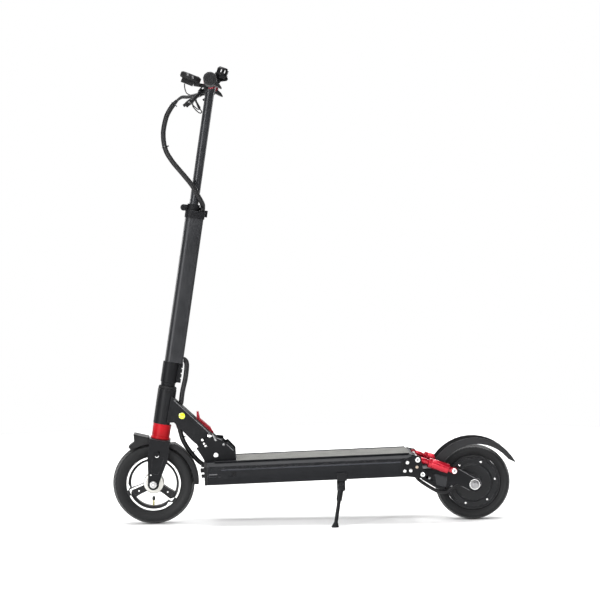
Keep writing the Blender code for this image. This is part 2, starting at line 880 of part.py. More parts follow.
def make_fork(column):
    """The fork that slides in the steerer, its spring, fender and axle."""
    slide = frame_at("front_suspension_axis", ALONG_Z, column)
    leg_top = CROWN_LOW + CROWN_TALL - 0.0006
    waist = CROWN_LOW * 0.56
    outline = [(-CROWN_HALF, leg_top), (-CROWN_HALF + 0.0025, waist), (-0.0165, 0.0180)]
    outline += arc(0, 0, 0.0150, 170, 375, 8)
    outline += [(0.0185, 0.0260), (CROWN_HALF + 0.0008, waist + 0.003), (CROWN_HALF + 0.0002, leg_top)]
    half = FORK_IN + FORK_LEG
    past = half + 0.015
    fork = block(
        "fork",
        slide,
        (-CROWN_HALF, -half + 0.0005, CROWN_LOW),
        (CROWN_HALF, half - 0.0005, CROWN_LOW + CROWN_TALL),
        black_paint(),
    )
    legs = []
    pockets = []
    for side in (-1, 1):
        mid = side * (FORK_IN + FORK_LEG / 2)
        legs.append(plate("leg", slide, outline, FORK_LEG, None, shift(0, mid, 0) @ SIDE_VIEW))
        pocket = [(-0.0130, waist + 0.0065), (-0.0085, 0.0280), (0.0085, 0.0280), (0.0165, waist + 0.0005)]
        pocket.append((0.0165, waist + 0.0105))
        face = side * half
        pockets.append(plate("pocket", slide, pocket, 0.003, None, shift(0, face, 0) @ SIDE_VIEW))
    slider = rod("slider", slide, (0, 0, CROWN_LOW + 0.001), (0, 0, SLIDER_TOP), SLIDER_R, sides=ROUND)
    join(fork, legs + [slider])
    bores = cross_rod("axle_bore", slide, 0, 0, -past, past, FRONT_SHAFT + SEAT)
    hole = cross_rod("leg_hole", slide, 0.0023, waist + 0.0215, -past, past, 0.0044)
    cut(fork, pockets + [bores, hole])

    coil_r = STEERER_BORE - SEAT - SPRING_WIRE - 0.0008
    low = SLIDER_TOP + SPRING_WIRE + SEAT
    high = HEAD_LOW + HEAD_TALL + 0.0073 + 0.0026 - SPRING_WIRE - SEAT
    per_turn = 8
    points = []
    for i in range(SPRING_TURNS * per_turn + 1):
        angle = 2 * pi * i / per_turn
        z = low + (high - low) * i / (SPRING_TURNS * per_turn)
        points.append((coil_r * cos(angle), coil_r * sin(angle), z))
    curve = bpy.data.curves.new("front_spring", "CURVE")
    curve.dimensions = "3D"
    curve.bevel_depth = SPRING_WIRE
    curve.bevel_resolution = 0
    curve.use_fill_caps = True
    add_spline(curve, points, False)
    as_mesh(add_object("front_spring", curve, slide, ALONG_Z, None), steel())

    make_front_fender(slide)
    end = FORK_IN + FORK_LEG
    half_profile = [
        (0, end + 0.0095),
        (FRONT_SHAFT, end + 0.0090),
        (FRONT_SHAFT, end + 0.0075),
        (0.0095, end + 0.0065),
        (0.0095, end + SEAT),
        (FRONT_SHAFT, end + SEAT),
        (FRONT_SHAFT, FORK_IN - SEAT),
        (0.0085, FORK_IN - SEAT),
        (0.0085, HUB_HALF + SEAT),
        (FRONT_SHAFT, HUB_HALF + SEAT),
    ]
    profile = half_profile + [(r, -y) for r, y in reversed(half_profile)]
    turned("front_axle", slide, profile, steel(), ALONG_Y, COARSE)
    return slide


def make_front_fender(slide):
    """The front fender: a channel over the tyre, with a finned lip ahead of the fork."""
    skin = FRONT_TYRE_R + 0.003
    outer = FRONT_TYRE_R + 0.011
    skirt = FRONT_TYRE_R - 0.002
    wide = FRONT_TYRE_HALF + 0.0055
    lean = RAKE * 180 / pi
    under_crown = CROWN_LOW - SEAT
    outline = arc(0, 0, outer, -1.2 + lean, 71, 9)
    outline += arc(0, 0, under_crown, 76, 104, 4)
    for angle, beyond in ((104.1, 0.0153), (120.1, 0.0340), (123.1, 0.0128), (132.5, 0.0102), (132.0, 0.0)):
        outline += arc(0, 0, FRONT_TYRE_R + beyond, angle, angle, 1)[:1]
    outline += arc(0, 0, skirt, 128, -1.2 + lean, 14)
    fender = plate("front_fender", slide, outline, 2 * wide, black_plastic())
    inner = wide - 0.0022
    well = cross_rod("well", slide, 0, 0, -inner, inner, skin, sides=36)
    back = arc(0, 0, outer - 0.0024, -10, 66, 8) + arc(0, 0, skin - 0.01, 66, -10, 6)
    back_well = plate("back_well", slide, back, 2 * inner, None)
    front = arc(0, 0, outer - 0.0006, 112, 124, 3) + arc(0, 0, skin - 0.01, 124, 112, 3)
    front_well = plate("front_well", slide, front, 2 * inner, None)
    cut(fender, [well, back_well, front_well])


def tyre(name, frame, rim_r, outer, half, tread, steps):
    """A tyre's section: beads on the rim, bulging walls and a tread with a flat middle."""
    tall = outer - rim_r
    half_profile = [
        (outer, tread),
        (outer - 0.22 * tall, half - 0.0030),
        (outer - 0.50 * tall, half),
        (outer - 0.80 * tall, half - 0.0036),
        (rim_r - 0.0023, half - 0.0090),
    ]
    profile = half_profile + [(r, -y) for r, y in reversed(half_profile)]
    return turned(name, frame, profile, rubber(), ALONG_Y, steps, ring=True)


def make_front_wheel(slide):
    """The pneumatic tyre on its three-spoked rim, and the hub bearings."""
    spin = frame_at("front_wheel_axis", turn(-RAKE, "Y"), slide)
    tyre("front_tyre", spin, RIM_R, FRONT_TYRE_R, FRONT_TYRE_HALF, 0.0110, WHEEL)
    lip = 0.0205
    half_profile = [
        (RIM_R, lip),
        (RIM_R - 0.0026, lip - 0.0036),
        (RIM_R - 0.0026, -lip + 0.0036),
        (RIM_R, -lip),
        (RIM_R - 0.0066, -lip),
        (RIM_INNER, -0.011),
        (RIM_INNER, 0.011),
        (RIM_R - 0.0066, lip),
    ]
    bright = material("rim", (0.6, 0.6, 0.61), 0.25, 0.9)
    rim = turned("front_rim", spin, half_profile, bright, ALONG_Y, WHEEL, True)
    spoke = [
        (HUB_R - 0.004, -0.0095),
        (0.040, -0.0115),
        (0.0560, -0.0190),
        (RIM_INNER + 0.0015, -0.0120),
        (RIM_INNER + 0.0025, 0.0),
        (RIM_INNER + 0.0015, 0.0085),
        (0.042, 0.0095),
        (HUB_R - 0.004, 0.0095),
    ]
    hollow = [(0.033, -0.0060), (0.042, -0.0075), (0.0535, -0.0125), (0.0555, 0.0)]
    hollow += [(0.0545, 0.0050), (0.033, 0.0055)]
    spokes = []
    hollows = []
    for degrees in (87, 207, 327):
        way = SIDE_VIEW @ turn(radians(degrees), "Z")
        spokes.append(plate("spoke", spin, spoke, 0.018, None, way))
        for side in (-1, 1):
            hollows.append(plate("hollow", spin, hollow, 0.010, None, shift(0, side * 0.009, 0) @ way))
    bore = 0.0140 + SEAT
    hub_profile = [
        (HUB_R, HUB_HALF - 0.004),
        (HUB_R, -HUB_HALF + 0.004),
        (HUB_R - 0.003, -HUB_HALF),
        (bore, -HUB_HALF),
        (bore, -HUB_HALF + 0.0072),
        (bore - 0.0025, -HUB_HALF + 0.0072),
        (bore - 0.0025, HUB_HALF - 0.0072),
        (bore, HUB_HALF - 0.0072),
        (bore, HUB_HALF),
        (HUB_R - 0.003, HUB_HALF),
    ]
    hub = turned("hub", spin, hub_profile, None, ALONG_Y, COARSE, True)
    join(rim, spokes)
    cut(rim, hollows)
    join(rim, hub)
    inner = FRONT_SHAFT + SEAT
    bearing = [
        (0.0140, HUB_HALF - SEAT),
        (0.0140, HUB_HALF - 0.0070),
        (0.0090, HUB_HALF - 0.0070),
        (0.0090, -HUB_HALF + 0.0070),
        (0.0140, -HUB_HALF + 0.0070),
        (0.0140, -HUB_HALF + SEAT),
        (inner, -HUB_HALF + SEAT),
        (inner, HUB_HALF - SEAT),
    ]
    turned("front_hub_bearings", spin, bearing, steel(), ALONG_Y, COARSE, True)


def make_upper_stem(column):
    """The sliding tube with the cross head that both handlebars fold from."""
    slide = frame_at("stem_slide_axis", ALONG_Z, column)
    foot = STEM_BORE - SEAT
    inner = UPPER_R - UPPER_WALL
    profile = [
        (0, BAR_S),
        (UPPER_R, BAR_S),
        (UPPER_R, UPPER_LOW + 0.030),
        (foot, UPPER_LOW + 0.028),
        (foot, UPPER_LOW),
        (inner, UPPER_LOW),
        (inner, BAR_S - 0.030),
        (0, BAR_S - 0.030),
    ]
    stem = turned("upper_stem", slide, profile, black_anodised(), steps=ROUND)
    shank = PIN_Y - KNUCKLE
    head = cross_rod("head", slide, 0, BAR_S, -shank, shank, HEAD_BAR_R)
    sleeve = rod("sleeve", slide, (0, 0, BAR_S - 0.0200), (0, 0, BAR_S), UPPER_R + 0.0022, sides=ROUND)
    tongues = []
    holes = []
    for side in (-1, 1):
        tongue = arc(PIN_Y, 0, KNUCKLE_R, -90, 90, 6)
        tongue += [(shank - 0.004, KNUCKLE_R), (shank - 0.004, -KNUCKLE_R)]
        outline = [(side * y, z) for y, z in tongue]
        tongues.append(plate("tongue", slide, outline, TONGUE, None, shift(0, 0, BAR_S) @ END_VIEW))
        y = side * PIN_Y
        holes.append(rod("hole", slide, (-0.02, y, BAR_S), (0.02, y, BAR_S), 0.0035))
    join(stem, [head, sleeve] + tongues)
    cut(stem, holes)
    return slide


def make_bar(slide, side, word):
    """One handlebar with its knuckle, lock sleeve and grip, in the frame of its fold pin."""
    pin = frame_at(f"{word}_bar_axis", shift(0, side * PIN_Y, BAR_S), slide)
    outward = ALONG_Y if side > 0 else turn(pi / 2, "X")
    start = KNUCKLE
    end = BAR_END - PIN_Y
    wall = 0.0022
    profile = [
        (0, end),
        (BAR_R, end),
        (BAR_R, start),
        (0, start),
    ]
    bar = turned(f"{word}_bar", pin, profile, black_paint(), outward, COARSE)
    hollow = rod("hollow", pin, (0, side * 0.030, 0), (0, side * (end + 0.01), 0), BAR_R - wall)
    cut(bar, hollow)
    cheek = arc(0, 0, KNUCKLE_R, 270, 90, 6) + [(start + 0.001, KNUCKLE_R), (start + 0.001, -KNUCKLE_R)]
    outline = [(side * y, z) for y, z in cheek]
    thick = 0.0045
    cheeks = []
    for way in (-1, 1):
        at = way * (TONGUE / 2 + SEAT + thick / 2)
        cheeks.append(plate("cheek", pin, outline, thick, None, shift(at, 0, 0) @ END_VIEW))
    across = TONGUE / 2 + SEAT + thick + 0.0008
    bolt = rod("bolt", pin, (-across, 0, 0), (across, 0, 0), 0.0032)
    join(bar, cheeks + [bolt])

    axis = frame_at(f"{word}_sleeve_axis", ALONG_Z, pin)
    low = SLEEVE_Y - PIN_Y
    high = low + SLEEVE_LONG
    inner = BAR_R + SEAT
    groove = low + SLEEVE_LONG * 0.55
    ring = [(0.0142, low), (inner, low), (inner, high), (0.0142, high), (0.0150, high - 0.0015)]
    ring += [(0.0150, groove + 0.0015), (0.0140, groove), (0.0150, groove - 0.0015), (0.0150, low + 0.0015)]
    turned(f"{word}_bar_sleeve", axis, ring, red_metal(), outward, COARSE, True)

    make_grip(pin, side, word, outward)
    return pin


def make_grip(pin, side, word, outward):
    low = GRIP_Y - PIN_Y
    high = GRIP_END - PIN_Y
    inner = BAR_R + SEAT
    profile = [
        (0, high),
        (GRIP_R - 0.003, high),
        (GRIP_R, high - 0.003),
        (GRIP_R - 0.0012, low + 0.012),
        (GRIP_R + 0.0003, low + 0.005),
        (GRIP_R + 0.0003, low),
        (inner, low),
        (inner, BAR_END - PIN_Y + SEAT),
        (0, BAR_END - PIN_Y + SEAT),
    ]
    grip = turned(f"{word}_grip", pin, profile, rubber(), outward, COARSE)
    droop = radians(-30)
    wing = arc(0, 0, GRIP_R - 0.002, 62, 20, 2)
    wing += [(0.028, 0.0045), (0.0365, 0.0012), (0.0370, -0.0010), (0.028, -0.0035)]
    wing += arc(0, 0, GRIP_R - 0.002, -22, -55, 2)
    wing += [(BAR_R + 0.002, 0.0)]
    place = shift(0, side * (high - 0.044), 0) @ turn(-droop, "Y") @ SIDE_VIEW
    rest = plate("rest", pin, wing, 0.074, None, place)
    for vertex in rest.data.vertices:
        reach = max(0.0, vertex.co.x - 0.020)
        if vertex.co.z * side > 0:
            vertex.co.z -= side * reach * 0.4
        else:
            vertex.co.z += side * reach * 1.2
    join(grip, rest)


def lever_matrix(side):
    """A frame at a brake lever's pin: its X leaves the bar and its Y points outward."""
    drop = LEFT_LEVER_DROP if side < 0 else RIGHT_LEVER_DROP
    way = pi + drop + RAKE
    away = Vector((cos(way), 0, sin(way)))
    out = Vector((0, side, 0))
    up = away.cross(out)
    place = Matrix((away, out, up)).transposed().to_4x4()
    place.translation = away * LEVER_REACH + out * (MOUNT_Y + 0.004 - PIN_Y)
    return place


def make_brake(pin, side, word):
    """A brake lever in the clamp that holds it to the bar."""
    place = lever_matrix(side)
    outward = ALONG_Y if side > 0 else turn(pi / 2, "X")
    low = MOUNT_Y - PIN_Y
    high = low + MOUNT_LONG
    inner = BAR_R + SEAT
    ring = [(0.0158, low), (0.0158, high), (inner, high), (inner, low)]
    mount = turned(f"{word}_lever_mount", pin, ring, black_paint(), outward, COARSE, True)
    half = LEVER_THICK / 2 + SEAT + 0.0032
    body = block(
        "body",
        pin,
        (-LEVER_REACH + 0.0130, -0.0040, -half),
        (0.0062, MOUNT_LONG - 0.0045, half),
        None,
        place,
    )
    barrel = rod("barrel", pin, (-0.0120, -0.003, 0), (-0.0120, -0.017, 0), 0.0040, matrix=place)
    join(mount, [body, barrel])
    slot_half = LEVER_THICK / 2 + SEAT
    slot = block("slot", pin, (-0.0100, -0.03, -slot_half), (0.02, 0.05, slot_half), None, place)
    hole = rod("hole", pin, (0, 0, -0.02), (0, 0, 0.02), 0.0031, sides=COARSE, matrix=place)
    cut(mount, [slot, hole])

    axis = frame_at(f"{word}_brake_axis", place, pin)
    blade = arc(0, 0, 0.0060, 215, 330, 4)
    blade += [(0.0170, 0.0080), (0.0380, 0.0260), (0.0475, 0.0520), (0.0520, 0.0900)]
    blade += arc(0.0520, 0.1000, 0.0062, -20, 200, 7)
    blade += [(0.0450, 0.0900), (0.0400, 0.0560), (0.0310, 0.0340), (0.0100, 0.0170), (-0.0040, 0.0085)]
    lever = plate(f"{word}_brake_lever", axis, blade, LEVER_THICK, black_paint(), ALONG_Z)
    round_edges(lever, 0.0012, 1, 50)
    bolt = rod("bolt", axis, (0, 0, -half - 0.0004), (0, 0, half + 0.0004), 0.0028)
    join(lever, bolt)


def make_display(pin):
    """The round display on the right bar, with its trigger and two buttons."""
    disc = 0.0285
    half = 0.008
    y = 0.100 - PIN_Y
    place = shift(-0.0584, y, 0.0144) @ turn(radians(22) - RAKE, "Y")
    housing = turned(
        "display_housing",
        pin,
        [
            (0, half - 0.0012),
            (disc - 0.005, half - 0.0012),
            (disc - 0.0035, half),
            (disc, half - 0.0025),
            (disc, -half + 0.003),
            (disc - 0.003, -half),
            (0, -half),
        ],
        black_plastic(),
        place,
        24,
    )
    chin = block("chin", pin, (-0.0200, -0.014, -0.0206), (0.0130, 0.010, -half + 0.002), None, place)
    clamp_mid = CLAMP_Y - PIN_Y
    ring = [
        (0.0160, clamp_mid),
        (0.0160, clamp_mid + CLAMP_LONG),
        (BAR_R + SEAT, clamp_mid + CLAMP_LONG),
        (BAR_R + SEAT, clamp_mid),
    ]
    collar = turned("collar", pin, ring, None, ALONG_Y, COARSE, True)
    arm_high = clamp_mid + CLAMP_LONG - 0.001
    arm = block("arm", pin, (-0.0440, clamp_mid + 0.001, -0.0060), (-0.0125, arm_high, 0.0040), None)
    neck = block("link", pin, (-0.0480, 0.004, -0.0060), (-0.0330, arm_high, 0.0060), None)
    join(housing, [chin, arm, neck, collar])
    inner = rod("inner", pin, (0, -0.02, 0), (0, 0.08, 0), BAR_R + SEAT)
    cut(housing, [inner])
    wells = []
    for at in (-0.0085, 0.0085):
        wells.append(rod("well", pin, (0.0185, at, 0.0032), (0.0185, at, 0.02), 0.0035, matrix=place))
    cut(housing, wells)
    face = material("button_grey", (0.35, 0.35, 0.36), 0.5)
    for word, at in (("power", -0.0085), ("mode", 0.0085)):
        axis = frame_at(f"{word}_button_axis", place @ shift(0.0185, at, 0), pin)
        cap = [(0, 0.0092), (0.0022, 0.0092), (0.0032, 0.0084), (0.0032, 0.0048), (0, 0.0048)]
        turned(f"{word}_button", axis, cap, face, steps=ROUND)

    axis = frame_at("throttle_axis", place @ shift(-0.006, 0.0240, -0.0123), pin)
    finger = arc(0, 0, 0.0045, 120, 330, 5)
    finger += [(0.0046, 0.012), (0.0010, 0.030), (-0.0030, 0.042)]
    finger += [(-0.0100, 0.044), (-0.0100, 0.040), (-0.0050, 0.012)]
    trigger = plate("throttle_trigger", axis, finger, 0.0072, black_plastic(), ALONG_Z)
    round_edges(trigger, 0.0010, 2, 50)


def make_bell(pin):
    """The bell on the left bar and its thumb striker."""
    at = -(CLAMP_Y + CLAMP_LONG / 2 - PIN_Y)
    place = shift(0.0245, at, 0.0185) @ turn(radians(11.3), "Y")
    bell = turned(
        "bell_body",
        pin,
        [
            (0, 0.0215),
            (0.0110, 0.0215),
            (0.0152, 0.0170),
            (0.0152, 0.0040),
            (0.0172, 0.0035),
            (0.0172, 0.0),
            (0.0135, -0.0070),
            (0, -0.0070),
        ],
        black_plastic(),
        place,
        ROUND,
    )
    low = -(CLAMP_Y - PIN_Y)
    ring = [(0.0160, low), (0.0160, low - CLAMP_LONG), (BAR_R + SEAT, low - CLAMP_LONG), (BAR_R + SEAT, low)]
    collar = turned("collar", pin, ring, None, ALONG_Z, COARSE, True)
    collar.matrix_basis = ALONG_Y
    post = rod("post", pin, (0.0075, at, 0.0065), (0.0255, at, 0.0210), 0.0046)
    inward = place @ turn(pi / 2, "Z")
    lug = block("lug", pin, (0.014, -0.004, 0.0003), (0.0235, 0.004, 0.0030), None, inward)
    outline = [(0.0120, 0.0130), (0.0300, 0.0150), (0.0425, 0.0148), (0.0440, 0.0112)]
    outline += [(0.0408, 0.0068), (0.0340, 0.0050), (0.0262, 0.0030), (0.0222, -0.0040), (0.0120, -0.0060)]
    foot = plate("foot", pin, outline, 0.0098, None, shift(0, at, 0) @ SIDE_VIEW)
    join(bell, [post, collar, lug, foot])
    inner = rod("inner", pin, (0, -0.08, 0), (0, 0.02, 0), BAR_R + SEAT)
    slots = []
    for x in (-0.0050, 0.0045):
        slots.append(block("slot", pin, (x, -0.03, 0.0075), (x + 0.0030, 0.03, 0.0165), None, place))
    cut(bell, slots + [inner])
    axis = frame_at("bell_striker_axis", inward @ shift(0.0205, 0, 0), pin)
    outline = arc(0, 0, 0.0036, 60, 300, 6) + [(0.0060, -0.0016)]
    outline += arc(0.0085, 0, 0.0032, -60, 60, 4) + [(0.0060, 0.0016)]
    plate("bell_striker", axis, outline, 0.0040, steel(), shift(0, 0, 0.0059))


def make_rear_bracket(tipped):
    """The casting that closes the deck's tail and carries the shocks and the swing arm."""
    inner = DECK_HALF + SEAT
    outer = inner + LINK_PLATE
    low, high = -DECK_DEEP + 0.0005, -TAPE_THICK - SEAT - 0.0010
    back = DECK_REAR + SEAT + 0.0058
    front = DECK_REAR + SEAT
    wide = outer - 0.001
    bracket = block("rear_bracket", tipped, (front, -wide, low), (back, wide, high), black_paint())

    def rel(x, z):
        place = Vector((x, 0, z - DECK_TOP))
        return (
            place.x * cos(DECK_TILT) + place.z * sin(DECK_TILT),
            place.z * cos(DECK_TILT) - place.x * sin(DECK_TILT),
        )

    top = rel(SHOCK_TOP_X, SHOCK_TOP_Z)
    arm = rel(ARM_PIVOT_X, ARM_PIVOT_Z)
    outline = [
        (DECK_REAR - 0.0230, low + 0.0025),
        (DECK_REAR - 0.0250, high - 0.0140),
        (DECK_REAR + 0.0050, high - 0.0010),
    ]
    outline += arc(top[0], top[1], 0.0092, 95, -30, 5)
    outline += [(arm[0] + 0.0010, arm[1] + 0.0145)]
    outline += arc(arm[0], arm[1], 0.0110, 35, -100, 6)
    plates = []
    for side in (-1, 1):
        mid = side * (inner + LINK_PLATE / 2)
        plates.append(plate("link", tipped, outline, LINK_PLATE, None, shift(0, mid, 0) @ SIDE_VIEW))
        seat = side * (SHOCK_Y + EYE_HALF + RUN)
        start, end = sorted((seat, side * (inner + 0.001)))
        plates.append(cross_rod("boss", tipped, top[0], top[1], start, end, 0.0070))
        studs = ((-0.0105, -0.0205), (-0.0180, -0.0420), (-0.0020, -0.0415))
        for x, z in studs:
            start, end = sorted((side * (outer - 0.001), side * (outer + 0.0022)))
            plates.append(cross_rod("stud", tipped, DECK_REAR + x, z, start, end, 0.0045, sides=SMALL))
    join(bracket, plates)
    past = outer + 0.02
    bores = [
        cross_rod("bore", tipped, top[0], top[1], -past, past, EYE_BOLT + SEAT),
        cross_rod("bore", tipped, arm[0], arm[1], -past, past, ARM_BOLT + SEAT),
    ]
    cut(bracket, bores)

    for name, spot, shaft, head in (
        ("shock_top_bolt", top, EYE_BOLT, 0.0064),
        ("swingarm_pivot_bolt", arm, ARM_BOLT, 0.0060),
    ):
        half = outer + SEAT
        profile = [(0, half + 0.0042), (head - 0.0010, half + 0.0042), (head, half), (shaft, half)]
        profile += [(r, -y) for r, y in reversed(profile)]
        turned(name, tipped, profile, steel(), shift(spot[0], 0, spot[1]) @ ALONG_Y, COARSE)


def make_swingarm(arm):
    """The swing arm: two plates, a cross tube at the pivot, and the studs that hold the shocks."""

    def rel(x, z):
        return (x - ARM_PIVOT_X, z - ARM_PIVOT_Z)

    axle = rel(REAR_AXLE_X, REAR_TYRE_R)
    low = rel(SHOCK_LOW_X, SHOCK_LOW_Z)
    outline = arc(0, 0, 0.0105, 255, 105, 5)
    outline += [rel(0.3100, 0.1440), rel(0.3420, 0.1425), (low[0] + 0.0010, low[1] + 0.0085)]
    outline += arc(axle[0], axle[1], 0.0205, 62, -118, 7)
    outline += [rel(0.3747, 0.1009), rel(0.3520, 0.0975), rel(0.3340, 0.0875), rel(0.3165, 0.0923)]
    outline.append(rel(0.2812, 0.1143))
    mid = ARM_IN + ARM_PLATE / 2
    left = plate("swingarm", arm, outline, ARM_PLATE, black_anodised(), shift(0, -mid, 0) @ SIDE_VIEW)
    right = plate("right", arm, outline, ARM_PLATE, None, shift(0, mid, 0) @ SIDE_VIEW)
    boss_end = DECK_HALF + SEAT - RUN
    past = DECK_HALF + 0.02
    tube = cross_rod("tube", arm, 0, 0, -boss_end, boss_end, 0.0100)
    bridge = block("bridge", arm, (0.002, -ARM_IN - 0.002, -0.0085), (0.024, ARM_IN + 0.002, 0.0085), None)
    pads = []
    pad = [rel(0.3130, 0.1290), rel(0.3130, 0.1085), rel(0.3350, 0.0960), rel(0.3480, 0.1010)]
    pad.append(rel(0.3480, 0.1200))
    for side in (-1, 1):
        outer = side * (ARM_IN + ARM_PLATE)
        pads.append(plate("pad", arm, pad, 0.005, None, shift(0, outer, 0) @ SIDE_VIEW))
        eye = side * (SHOCK_Y + EYE_HALF + SEAT)
        start, end = sorted((side * (ARM_IN + 0.002), eye + side * 0.0005))
        pads.append(cross_rod("stud", arm, low[0], low[1], start, end, EYE_BOLT))
        start, end = sorted((eye, eye + side * 0.0040))
        pads.append(cross_rod("head", arm, low[0], low[1], start, end, 0.0068))
    join(left, [tube, bridge, right] + pads)
    pivot = cross_rod("pivot", arm, 0, 0, -past, past, ARM_BOLT + SEAT)
    axle_hole = cross_rod("axle_hole", arm, axle[0], axle[1], -past, past, AXLE_END_R + SEAT)
    cut(left, [pivot, axle_hole])
    make_rear_fender(arm, axle)
    make_rear_wheel(arm, axle)


def make_rear_fender(arm, axle):
    """The rear fender: a channel over the tyre whose skirts thin out towards its tip."""
    outer = REAR_TYRE_R + 0.0245
    start, end = 144, 29.2
    outline = arc(0.0020, -0.0040, outer, start, end, 14)
    tip = outline[-1]
    outline.append((tip[0] + 0.0005, tip[1] - 0.0035))
    count = 12
    for i in range(count + 1):
        t = i / count
        radius = max(outer - 0.0128 - 0.0165 * t, REAR_TYRE_R - 0.0022)
        angle = radians(end + 4.8 + (start - end - 4.8) * t)
        outline.append((radius * cos(angle), radius * sin(angle)))
    tail = outline[-1]
    lug_x, lug_z = -0.0800, 0.0280
    outline += [(tail[0] + 0.004, tail[1] - 0.014), (lug_x + 0.0060, lug_z - 0.0060)]
    outline += [(lug_x - 0.0060, lug_z - 0.0060), (lug_x - 0.0090, lug_z + 0.012)]
    place = shift(axle[0], 0, axle[1])
    fender = plate("rear_fender", arm, outline, 2 * FENDER_HALF, black_plastic(), place @ SIDE_VIEW)
    inner = FENDER_HALF - FENDER_SKIN
    well_outline = arc(0, 0, outer - FENDER_SKIN, 178, 0, 20) + [(0.12, -0.03), (-0.12, -0.03)]
    well = plate("well", arm, well_outline, 2 * inner, None, place @ SIDE_VIEW)
    cut(fender, well)
    lugs = []
    for side in (-1, 1):
        a, b = sorted((side * (inner + 0.0005), side * (ARM_IN - SEAT)))
        lugs.append(cross_rod("lug", arm, axle[0] + lug_x, axle[1] + lug_z, a, b, 0.0050))
    join(fender, lugs)


def make_rear_wheel(arm, axle):
    """The hub motor: its axle with the stator, the shell and its cover, and the solid tyre."""
    place = shift(axle[0], 0, axle[1])
    seat = ARM_IN - SEAT
    outer = ARM_IN + ARM_PLATE
    half_profile = [
        (0, outer + 0.0180),
        (AXLE_END_R, outer + 0.0175),
        (AXLE_END_R, outer + 0.0105),
        (0.0115, outer + 0.0090),
        (0.0115, outer + SEAT),
        (AXLE_END_R, outer + SEAT),
        (AXLE_END_R, seat),
        (MOTOR_SHAFT, seat),
        (MOTOR_SHAFT, 0.0150),
        (0.0610, 0.0150),
    ]
    profile = half_profile + [(r, -y) for r, y in reversed(half_profile)]
    turned("motor_axle", arm, profile, steel(), place @ ALONG_Y, COARSE)

    spin = frame_at("rear_wheel_axis", place, arm)
    tyre("rear_tyre", spin, MOTOR_R + 0.0026, REAR_TYRE_R, REAR_TYRE_HALF, 0.0150, WHEEL)
    bore = MOTOR_SHAFT + RUN
    wall = 0.0200
    shell = [
        (MOTOR_R, wall - 0.0040),
        (MOTOR_R, -wall),
        (0.0640, -wall),
        (0.0640, wall - 0.0020),
        (bore, wall - 0.0020),
        (bore, wall + 0.0090),
        (0.0200, wall + 0.0090),
        (0.0640, wall + 0.0050),
        (MOTOR_R - 0.0020, wall + 0.0020),
    ]
    turned("motor_shell", spin, shell, black_paint(), ALONG_Y, WHEEL, True)
    face = -wall - SEAT
    cover = [
        (0.0660, face),
        (0.0660, face - 0.0030),
        (0.0560, face - 0.0050),
        (0.0520, face - 0.0080),
        (0.0200, face - 0.0090),
        (0.0180, face - 0.0110),
        (bore, face - 0.0110),
        (bore, face),
    ]
    turned("motor_cover", spin, cover, black_paint(), ALONG_Y, ROUND, True)


def make_shock(arm, side, word):
    """One shock: the rod turns on the deck's bracket and slides in the body on the swing arm."""
    top = Vector((SHOCK_TOP_X, side * SHOCK_Y, SHOCK_TOP_Z))
    low = Vector((SHOCK_LOW_X, side * SHOCK_Y, SHOCK_LOW_Z))
    run = low - top
    long = run.length
    slope = atan2(-run.z, run.x)
    down = turn(slope + pi / 2, "Y")
    rod_frame = frame_at(f"{word}_shock_rod_axis", Matrix.Translation(top) @ down)
    rod_profile = [
        (0, 0.0060),
        (SHOCK_ROD_R - 0.001, 0.0060),
        (SHOCK_ROD_R, 0.0075),
        (SHOCK_ROD_R, 0.0220),
        (SHOCK_ROD_R - 0.0015, 0.0235),
        (SHOCK_ROD_R - 0.0015, 0.0640),
        (0, 0.0640),
    ]
    piston = turned(f"{word}_shock_rod", rod_frame, rod_profile, red_metal(), steps=ROUND)
    eye = cross_rod("eye", rod_frame, 0, 0, -EYE_HALF, EYE_HALF, EYE_R)
    join(piston, eye)
    cut(piston, cross_rod("hole", rod_frame, 0, 0, -0.02, 0.02, EYE_BOLT + SEAT))

    body_frame = frame_at(
        f"{word}_shock_body_axis", arm.matrix_world.inverted() @ Matrix.Translation(low) @ down, arm
    )
    bore = SHOCK_ROD_R - 0.0015 + 0.0008
    mouth = -long + 0.0300
    body_profile = [
        (0, -0.0220),
        (bore, -0.0220),
        (bore, mouth),
        (SHOCK_R - 0.0015, mouth),
        (SHOCK_R, mouth + 0.0015),
        (SHOCK_R, mouth + 0.0080),
        (SHOCK_R - 0.0012, mouth + 0.0095),
        (SHOCK_R, mouth + 0.0110),
        (SHOCK_R, -0.0160),
        (SHOCK_R - 0.0056, -0.0125),
        (SHOCK_R - 0.0056, -0.0060),
        (0, -0.0060),
    ]
    body = turned(f"{word}_shock_body", body_frame, body_profile, red_metal(), steps=ROUND)
    eye = cross_rod("eye", body_frame, 0, 0, -EYE_HALF, EYE_HALF, EYE_R)
    join(body, eye)
    cut(body, cross_rod("hole", body_frame, 0, 0, -0.02, 0.02, EYE_BOLT + SEAT))


